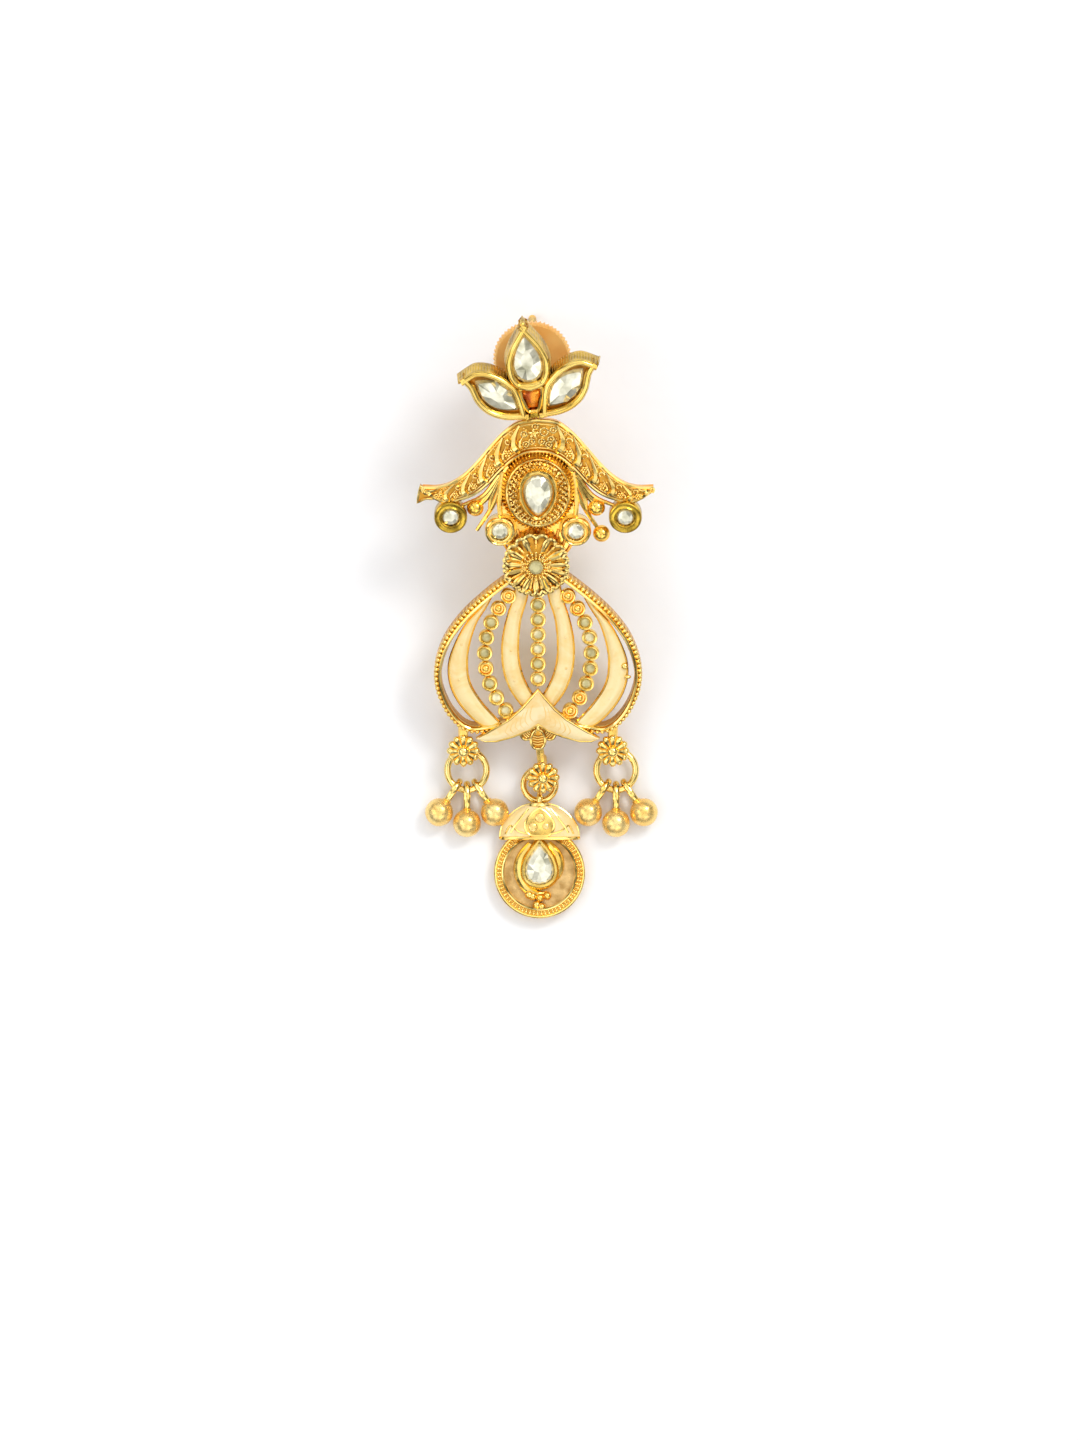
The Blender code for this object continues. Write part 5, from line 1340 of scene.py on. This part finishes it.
def makeFlower():
    depth, wall, seat, reach = (flower[key] for key in ("depth", "wall", "seat", "reach"))
    # the outer wall flares a little towards its foot; the ridge is a bright rounded lip inside it
    wallSection = [
        (-wall, 0.02), (-0.08, 0.02), (-0.10, 0.4),
        (-0.17, depth - 0.30), (-0.28, depth - 0.24), (-wall, depth - 0.3),
    ]
    ridgeSection = [
        (-0.82, 1.3), (-0.20, 1.3), (-0.20, depth - 0.22), (-0.30, depth - 0.06),
        (-0.50, depth), (-0.68, depth - 0.06), (-0.82, depth - 0.38),
    ]
    walls, ridges, floors, places = [], [], [], []
    for loop in petalLoops():
        walls.append(sweepProfile("wall", loop, wallSection))
        ridges.append(sweepProfile("ridge", loop, ridgeSection))
        floors.append(cutPlate("floor", insetLoop(loop, 0.25), 0.05, seat - 0.1))
        places += [spot((at.x, at.y, 0), turn) for at, turn in walkLine(loop, flower["ribPitch"])]
    foot = mirrorLoop(scaleLoop(flower["foot"], reach, reach))
    walls.append(cutPlate("heel", foot, 0.02, seat - 0.15, 0.05))
    settle(joinAll("flowerWalls", walls), "flowerWalls", "oliveGold", ["stud_flower"], studSpace)
    settle(joinAll("flowerRidges", ridges), "flowerRidges", "ridgeGold", space=studSpace, crease=60)
    # the cell floors carry painted shade in a dark orange gold
    settle(joinAll("flowerFloors", floors), "flowerFloors", "shadedCellFloor", space=studSpace)
    line = [(0, 0.10, 0.2), (0, 0.12, 0.5), (0, 0.26, depth - 0.34), (0, 0.34, depth - 0.24)]
    rib = bendWire("rib", line, flower["ribWire"], sides=1)
    settle(layCopies("ribs", rib, places), "flowerRibs", "oliveGold", space=studSpace)


def makeHeart():
    depth, reach = flower["depth"], flower["reach"]
    heart = counterClockwise(mirrorLoop(scaleLoop(flower["heart"], reach, reach)))
    line = smoothLine(heart, 5, corners={0, 1, 5, 6})
    section = [(-0.16, 1.4), (0.22, 1.4), (0.20, depth - 0.20), (0.03, depth - 0.08), (-0.14, depth - 0.22)]
    settle(sweepProfile("heartRim", line, section), "heartRim", "ridgeGold", space=studSpace)
    loop = counterClockwise(insetLoop(heart, 0.14))
    settleStone("heartGlass", "heart_fill", loop, 1.6, depth - 0.35, 0.45, finish="amber", space=studSpace)
    line = [(-1.1, 1.22, depth - 0.2), (0, 1.05, depth - 0.05), (1.1, 1.22, depth - 0.2)]
    knobs = joinAll("knobs", [
        roundBall("topKnob", 0.30, 16, 12, place=(0.0, 7.72, depth - 0.45)),
        bendWire("bridge", line, 0.20, sizes=[0.7, 1.2, 0.7]),
    ])
    settle(knobs, "flowerKnobs", "ridgeGold", space=studSpace)


def makePetalStones():
    low, high = flower["seat"] - 0.2, flower["depth"] - 0.05
    width, length, place = flower["topStone"]
    loop = pearLoop(width, length, 20, 1, 0.8)
    settleStone("topPetalStone", "stone_petal_top", loop, low, high, 0.40, place, space=studSpace)
    width, length, (x, y, z) = flower["sideStone"]
    loop = marquiseLoop(width, length, 16)
    for side, hand in hands:
        place, turn = (side * x, y, z), -side * flower["sideTilt"]
        name = hand + "PetalStone"
        settleStone(name, f"stone_petal_{hand}", loop, low, high, 0.36, place, turn, space=studSpace)


post = {
    "place": (0.3, 2.2, 0),
    "length": 16.0,
    "radius": 0.4,
    "threadStart": 1.2,
    "threadEnd": 15.5,
    "threadPitch": 0.36,
    "threadDepth": 0.05,
    "collar": 1.0,
    "eye": (0.0, 0.1, -0.7),
}


def makePost():
    radius, length, collar = post["radius"], post["length"], post["collar"]
    pitch, z = post["threadPitch"], -post["threadStart"]
    section = [
        (0, 0.05), (collar, 0.05), (collar, -0.25), (collar * 0.8, -0.48), (radius, -0.7), (radius, z),
    ]
    while z > -post["threadEnd"]:
        section += [(radius - post["threadDepth"], z - pitch / 2), (radius, z - pitch)]
        z -= pitch
    section += [(radius, -length + 0.12), (radius - 0.1, -length), (0, -length)]
    rod = moved(spinProfile("post", section, 20), post["place"])
    eye = ringWire("eye", 0.62, 0.22, 32, 10, upright=True, place=post["eye"])
    settle(joinAll("post", [rod, eye]), "studPost", "gold", space=studSpace)


nut = {
    "gap": 2.8,
    "thick": 1.2,
    "radius": 3.9,
    "flutes": 56,
    "fluteDepth": 0.2,
    "sleeve": 5.8,
    "sleeveFoot": 1.5,
    "sleeveEnd": 1.25,
    "bore": 0.46,
}


def makeNut():
    face, back = -nut["gap"], -nut["gap"] - nut["thick"]
    end = back - nut["sleeve"]
    radius, bore = nut["radius"], nut["bore"]
    section = [
        (bore, back + 0.05), (2.1, back + 0.05), (2.2, back), (radius - 0.3, back),
        (radius - 0.05, back + 0.2), (radius, back + 0.4), (radius, face - 0.4),
        (radius - 0.05, face - 0.2), (radius - 0.3, face), (bore, face),
    ]
    disc = spinProfile("disc", section, nut["flutes"] * 2, closed=True)
    pitch = math.pi / nut["flutes"]
    for vertex in disc.data.vertices:  # every other line of the rim is pressed in, which leaves the knurl
        reach = math.hypot(vertex.co.x, vertex.co.y)
        if reach > radius - 0.1 and round(math.atan2(vertex.co.y, vertex.co.x) / pitch) % 2:
            vertex.co.x *= 1 - nut["fluteDepth"] / reach
            vertex.co.y *= 1 - nut["fluteDepth"] / reach
    # the nut disc takes the lightened orange gold, which is partly painted light
    settle(moved(disc, post["place"]), "nutDisc", "litNutGold", ["screw_nut"], studSpace, "nut", 25)
    foot, tip = nut["sleeveFoot"], nut["sleeveEnd"]
    section = [
        (bore, end + 0.05), (tip - 0.15, end), (tip, end + 0.12), (tip, end + 0.45),
        (tip - 0.13, end + 0.6), (foot - 0.18, back - 0.7), (foot - 0.02, back - 0.35),
        (foot, back + 0.02), (bore, back + 0.02),
    ]
    tube = moved(spinProfile("sleeve", section, 48, closed=True), post["place"])
    settle(tube, "nutSleeve", "gold", space=studSpace, body="nut")


makeFlower()
makeHeart()
makePetalStones()
makePost()
makeNut()
print("stud made")


# Chain, rings and beads

chain = {
    "wire": 0.20,
    "width": 1.5,
    "foot": (-0.306, 32.0, -0.7),
    # for each link: which way its width lies, and how much shorter it is than its solid's box
    "links": [("top", (1, 0, 0), 0.1), ("middle", (0, 0, 1), 0.55), ("bottom", (1, 0, 0), 0.1)],
}
ring = {"left": (1.96, 0.34), "right": (1.96, 0.34), "centre": (1.6, 0.33)}
bead = {
    "radius": 1.42,
    "uneven": 0.010,
    "eyeWire": 0.28,
    "eyeWidth": 0.85,
    "eyeGap": 0.05,
    "root": 0.25,
    "ringHeight": 1.22,
    # for each bead: degrees from straight down, and its distance from the ring's middle
    "places": [("left", -33.5, 5.03), ("middle", 0, 5.28), ("right", 33.5, 5.03)],
    "collar": (0.34, 0.12),
}


def makeChain():
    along = (studSpace @ Vector(post["eye"]) - dropSpace @ Vector(chain["foot"])).normalized()
    half = chain["width"] / 2 - chain["wire"]
    for where, across, play in chain["links"]:
        node = f"chain_link_{where}"
        low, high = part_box(node)
        middle, across = boxMiddle(node), Vector(across)
        across = (across - along * across.dot(along)).normalized()
        length = (high.y - low.y) * 1000 / along.y - play
        straight = max(0.1, length / 2 - chain["wire"] - half)
        points = []
        for face in (1, -1):
            for i in range(13):
                angle = math.pi * i / 12
                reach = along * face * (straight + half * math.sin(angle))
                points.append(middle + reach + across * face * half * math.cos(angle))
        link = bendWire("link", points, chain["wire"], closed=True, sides=3)
        settle(link, where + "ChainLink", "gold", [node], millimetre)


def makeRings():
    for hand, (radius, wire) in ring.items():
        loop = ringWire("ring", radius, wire, 72, 20, place=boxMiddle(f"ring_{hand}"))
        settle(loop, hand + "Ring", "wireGold", [f"ring_{hand}"], millimetre)


def makeBead(hand, where, twist, hub, out, reach):
    name = f"{hand}Bead{where.title()}"
    middle = hub + out * reach + Vector((0, 0, bead["radius"] - bead["ringHeight"]))
    ball = roundBall("bead", bead["radius"], 56, 36, place=middle)
    for vertex in ball.data.vertices:  # the beads are a little uneven, as hand-finished ones are
        offset = vertex.co - middle
        swell = math.sin(3.1 * offset.x + twist) * math.sin(2.7 * offset.y + 1.3) - 1
        vertex.co += offset * bead["uneven"] * swell
    settle(ball, name, "satinGold", [f"bead_{hand}_{where}"], millimetre)
    radius, wire = ring[hand]
    near = radius - wire - bead["eyeGap"] - bead["eyeWire"]
    far = reach - bead["radius"] + bead["root"]
    centre, half = (near + far) / 2, (far - near) / 2
    points = []
    for k in range(40):
        turn = 2 * math.pi * k / 40
        place = hub + out * (centre + half * math.cos(turn))
        points.append(raised(place, bead["eyeWidth"] * math.sin(turn)))
    eye = bendWire("eye", points, bead["eyeWire"] * 0.97, closed=True, sides=3)
    across = Vector((out.y, -out.x, 0))
    eye.data.transform(Matrix.Translation(hub) @ Matrix.Scale(1.2, 4, across) @ Matrix.Translation(-hub))
    collar = ringWire("collar", *bead["collar"], 20, 8)
    turned = out.to_track_quat("Z", "Y").to_matrix().to_4x4()
    collar.data.transform(Matrix.Translation(middle - out * (bead["radius"] - 0.03)) @ turned)
    settle(joinAll("eye", [eye, collar]), name + "Eye", "wireGold", space=millimetre)


def makeBeads():
    for hand in ("left", "right"):
        hub = boxMiddle(f"ring_{hand}")
        for i, (where, degrees, reach) in enumerate(bead["places"]):
            angle = math.radians(degrees)
            makeBead(hand, where, i, hub, Vector((math.sin(angle), -math.cos(angle), 0)), reach)


makeChain()
makeRings()
makeBeads()
print("chain, rings and beads made")


# Pendant

pendant = {
    "radius": 4.6,
    "dish": [
        (0.72, 0.72), (3.6, 0.72), (3.78, 0.35), (3.9, 0.02), (4.3, 0.02), (4.52, 0.4),
        (4.50, 1.30), (4.36, 1.42), (3.60, 1.42), (3.54, 1.1), (0.72, 1.1),
    ],
    "border": (4.40, 0.17, 1.44),
    "ridge": [(3.5, 1.0), (3.84, 1.0), (3.84, 1.74), (3.78, 1.90), (3.67, 1.96), (3.56, 1.88), (3.5, 1.7)],
    "floor": [(0.75, 0.9), (3.55, 0.9), (3.55, 1.13), (0.75, 1.13)],
    # for each row of grains: radius, height, how many, and the stretch of one
    "rows": [
        (4.14, 1.56, 66, (0.165, 0.165, 0.165)),
        (3.93, 1.60, 66, (0.14, 0.14, 0.14)),
        (4.47, 0.85, 86, (0.12, 0.13, 0.62)),
    ],
    "stone": (2.9, 4.1, 0.9),
    "setting": [
        (0.0, 0.8), (0.52, 0.8), (0.48, 1.5), (0.36, 1.92),
        (0.20, 2.06), (0.04, 2.04), (-0.06, 1.9), (0.0, 1.5),
    ],
    "bands": [
        [(-0.9, 2.9), (-1.75, 1.7), (-2.05, 0.6), (-1.85, -0.6), (-1.2, -1.6), (-0.2, -2.1), (0.75, -1.95)],
        [(0.85, 2.95), (1.65, 1.95), (1.95, 0.9), (1.75, -0.2), (1.25, -0.9)],
    ],
    "bandHeight": 1.25,
    "bandWire": 0.42,
    "granules": [
        (-1.05, -2.20), (-0.69, -2.35), (0.05, -2.50), (0.78, -2.30), (-0.28, -3.22), (0.23, -3.40),
    ],
    "granule": 0.42,
}
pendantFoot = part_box("pendant_frame")[0].y * 1000 + pendant["radius"]
pendantSpace = millimetre @ Matrix.Translation((boxMiddle("pendant_frame").x, pendantFoot, 0))


def makePendant():
    dish = spinProfile("dish", pendant["dish"], 96, closed=True)
    # the dish takes the darker orange gold as painted shade
    settle(dish, "pendantDish", "orangeShadeGold", ["pendant_frame"], pendantSpace)
    radius, wire, height = pendant["border"]
    border = ringWire("border", radius, wire, 96, 10, place=(0, 0, height))
    ridge = spinProfile("ridge", pendant["ridge"], 96, closed=True)
    settle(joinAll("ridges", [ridge, border]), "pendantRidge", "wireGold", space=pendantSpace)
    floor = spinProfile("floor", pendant["floor"], 72, closed=True)
    # this floor sheet is painted shade, standing for the shaded cloth seen through the pendant's open middle
    settle(floor, "shadedPendantFloor", "shadedPendantFloor", space=pendantSpace)
    places = []
    for radius, height, count, stretch in pendant["rows"]:
        for i in range(count):
            turn = 2 * math.pi * i / count
            places.append(spot((radius * math.cos(turn), radius * math.sin(turn), height), turn, stretch))
    grains = layCopies("grains", roundBall("grain", 1.0, 8, 6), places)
    settle(grains, "pendantGrains", "wireGold", space=pendantSpace)
    width, length, y = pendant["stone"]
    wall = scaleLoop(pearLoop(width + 0.16, length + 0.2, 64), 1, 1, 0, y)
    setting = [sweepProfile("setting", wall, pendant["setting"])]
    for line in pendant["bands"]:
        line = smoothLine(line, 8, closed=False)
        count = len(line)
        sizes = [0.35 + 1.0 * math.sin(math.pi * min(1, 0.08 + i / count)) ** 0.6 for i in range(count)]
        points = [(px, py, pendant["bandHeight"]) for px, py in line]
        setting.append(bendWire("band", points, pendant["bandWire"], sizes=sizes, sides=3))
    settle(joinAll("pendantSetting", setting), "pendantSetting", "ridgeGold", space=pendantSpace)
    places = [spot((px, py, 1.5)) for px, py in pendant["granules"]]
    balls = layCopies("granules", roundBall("granule", pendant["granule"], 20, 14), places)
    settle(balls, "pendantGranules", "gold", space=pendantSpace)
    loop = pearLoop(width, length, 18)
    settleStone("pendantStone", "stone_pendant", loop, 1.42, 2.14, 0.44, (0, y, 0), space=pendantSpace)


cap = {
    "half": 4.0,
    "enamelShare": 0.985,
    "height": 3.5,
    "foot": 3.4,
    "edge": 1.35,
    "crown": 1.22,
    # half the width as a share, then the share of the height
    "side": [
        (1.0, 0.0), (0.985, 0.22), (0.94, 0.37), (0.86, 0.52), (0.75, 0.67),
        (0.62, 0.80), (0.46, 0.91), (0.32, 0.97), (0.18, 1.0),
    ],
    "lift": 0.02,
    "leaf": [(0.0, 3.1), (0.65, 2.65), (1.30, 1.85), (1.45, 1.15), (1.0, 0.40), (0.0, 0.28)],
    "dots": [(0.02, 2.10, 0.50), (-0.66, 1.15, 0.48), (0.62, 1.25, 0.34)],
    # the wires on each side of the leaf
    "sideLeaf": [(2.9, 0.6), (2.3, 1.5), (1.7, 2.3), (1.1, 3.0)],
    "lowLeaf": [(1.25, 0.5), (2.1, 0.75), (2.9, 1.3), (3.4, 0.5)],
    "wires": {"foot": 0.17, "side": 0.13, "leaf": 0.12, "sideLeaf": 0.11, "lowLeaf": 0.10, "top": 0.20},
    "eye": (0, 7.2, 1.22),
}


def capWidth(share):
    rows = cap["side"]
    for (w0, h0), (w1, h1) in zip(rows, rows[1:]):
        if share <= h1:
            return cap["half"] * (w0 + (w1 - w0) * (share - h0) / (h1 - h0))
    return cap["half"] * rows[-1][0]


def capPoint(x, y, lift=cap["lift"]):
    # a place on the cap's face, which is domed across and falls towards its sides and its top
    share = min(max(y / cap["height"], 0), 1)
    side = min(abs(x) / capWidth(share), 1)
    fall = 0.72 + 0.28 * math.sin(math.pi * (0.25 + 0.6 * share))
    return (x, cap["foot"] + y, cap["edge"] + cap["crown"] * math.sqrt(1 - side**2) * fall + lift)


def capWire(kind, line, closed=False):
    return bendWire(kind, [capPoint(x, y) for x, y in line], cap["wires"][kind], closed)


def makeCap():
    half, height, share = cap["half"], cap["height"], cap["enamelShare"]

    def onCap(u, v):
        return capPoint(capWidth(v) * share * (2 * u - 1), height * v, 0.0)

    def onBack(u, v):
        x, y, z = onCap(u, v)
        return (x * 0.99, y, z - 0.45)

    def onLeaf(u, v):
        right = sampleLine(cap["leaf"], v)
        return capPoint(right.x * (2 * u - 1) * 0.98, right.y, 0.05)

    shell = shapeSheet("capShell", 28, 24, onCap, 0.5)
    settle(shell, "capEnamel", "enamel", ["enamel_cap"], pendantSpace)
    lines = [capWire("foot", [(half * share * (i / 20 - 1), 0.05) for i in range(41)])]
    for side in (-1, 1):
        edge = []
        for i in range(25):
            x, y = side * capWidth(i / 24) * share, cap["foot"] + height * i / 24
            edge.append((x, y, cap["edge"] + 0.05))
        lines.append(bendWire("side", edge, cap["wires"]["side"]))
    lines.append(capWire("leaf", smoothLine(mirrorLoop(cap["leaf"]), 6, corners={0}), closed=True))
    for kind in ("sideLeaf", "lowLeaf"):
        for side in (-1, 1):
            lines.append(capWire(kind, smoothLine([(side * x, y) for x, y in cap[kind]], 6, closed=False)))
    top = [capPoint(x / 10, height * 0.97, 0.05) for x in range(-9, 10, 3)]
    lines.append(bendWire("top", top, cap["wires"]["top"]))
    lines.append(ringWire("eye", 0.8, 0.27, 32, 12, upright=True, place=cap["eye"]))
    lines.append(shapeSheet("capBack", 20, 16, onBack, 0.35))
    settle(joinAll("capLines", lines), "capLines", "wireGold", space=pendantSpace)
    settle(shapeSheet("capLeaf", 8, 16, onLeaf, 0.12), "capLeaf", "gold", space=pendantSpace)
    dots = []
    for x, y, size in cap["dots"]:
        dots.append(roundBall("dot", size, 20, 12, (1, 1, 0.35), capPoint(x, y, 0.08)))
    settle(joinAll("capDots", dots), "capDots", "satinGold", space=pendantSpace)


makePendant()
makeCap()
print("pendant made")


# Cloth-like floor, light and camera

studio = {
    "floorSize": 1.2,
    "floorTone": (0.93, 0.93, 0.935),
    "weave": 950.0,
    "sky": [(0.0, 0.20), (0.35, 0.36), (0.62, 0.95), (1.0, 0.80)],  # brightness from the horizon up
    "panels": (3.2, 0.27, 1.92),  # how many, and how dim and bright against the sky
    "lamps": [
        # name, place, watts, size
        ("key", (0.24, 0.26, 0.42), 1.05, 0.16),
        ("front", (0.05, -0.42, 0.50), 0.45, 0.40),
        ("fill", (-0.42, 0.02, 0.36), 0.24, 0.22),
    ],
    "cameraAim": (0.00039, -0.01034),
    "cameraHeight": 3.0,
    "fieldHeight": 0.144,
}


def makeFloor():
    bpy.ops.mesh.primitive_plane_add(size=studio["floorSize"])
    floor = bpy.context.object
    floor.name = "floor"
    finish, tree, shader = newFinish("paleCloth", "")
    place = addNode(tree, "ShaderNodeTexCoord").outputs["Object"]
    threads = []
    for axis in ("X", "Y"):
        wave = addNode(tree, "ShaderNodeTexWave", [(place, "Vector")], bands_direction=axis)
        setValues(wave, Scale=studio["weave"] / 6.28, Distortion=1.2, Detail=1.0, Detail_Scale=2.0)
        threads.append(wave.outputs["Fac"])
    weave = addNode(tree, "ShaderNodeMath", [(threads[0], 0), (threads[1], 1)], operation="MULTIPLY")
    bump = addNode(tree, "ShaderNodeBump", [(weave.outputs[0], "Height")])
    setValues(bump, Strength=0.25, Distance=0.0001)
    tree.links.new(bump.outputs["Normal"], shader.inputs["Normal"])
    setValues(shader, Base_Color=(*studio["floorTone"], 1), Roughness=0.95)
    floor.data.materials.append(finish)


def addLight(name, place, power, size):
    bpy.ops.object.light_add(type="AREA", location=place)
    lamp = bpy.context.object
    lamp.name = name
    lamp.data.energy = power
    lamp.data.size = size
    aim = Vector((*studio["cameraAim"], 0)) - Vector(place)
    lamp.rotation_euler = aim.to_track_quat("-Z", "Y").to_euler()


def makeStudio():
    world = bpy.data.worlds.new("studio")
    world.use_nodes = True
    tree = world.node_tree
    way = addNode(tree, "ShaderNodeTexCoord").outputs["Generated"]
    up = addNode(tree, "ShaderNodeSeparateXYZ", [(way, "Vector")])
    tone = addNode(tree, "ShaderNodeValToRGB", [(up.outputs["Z"], "Fac")])
    stops = tone.color_ramp.elements
    for height, level in studio["sky"][1:-1]:
        stops.new(height)
    for stop, (height, level) in zip(stops, studio["sky"]):
        stop.position = height
        stop.color = (level * 0.97, level * 0.98, level, 1)
    count, dim, bright = studio["panels"]
    panels = addNode(tree, "ShaderNodeTexNoise", [(way, "Vector")])
    setValues(panels, Scale=count, Detail=0.5)
    spread = addNode(tree, "ShaderNodeMapRange", [(panels.outputs["Fac"], "Value")])
    setValues(spread, From_Min=0.42, From_Max=0.58, To_Min=dim, To_Max=bright)
    tree.links.new(tone.outputs["Color"], tree.nodes["Background"].inputs["Color"])
    tree.links.new(spread.outputs["Result"], tree.nodes["Background"].inputs["Strength"])
    bpy.context.scene.world = world
    for lamp in studio["lamps"]:
        addLight(*lamp)
    bpy.ops.object.camera_add(location=(*studio["cameraAim"], studio["cameraHeight"]))
    camera = bpy.context.object
    camera.data.lens = camera.data.sensor_width * studio["cameraHeight"] / studio["fieldHeight"]
    camera.data.clip_start = 0.01
    bpy.context.scene.camera = camera
    bpy.context.scene.view_settings.view_transform = "Standard"


makeFloor()
makeStudio()
print("studio made")
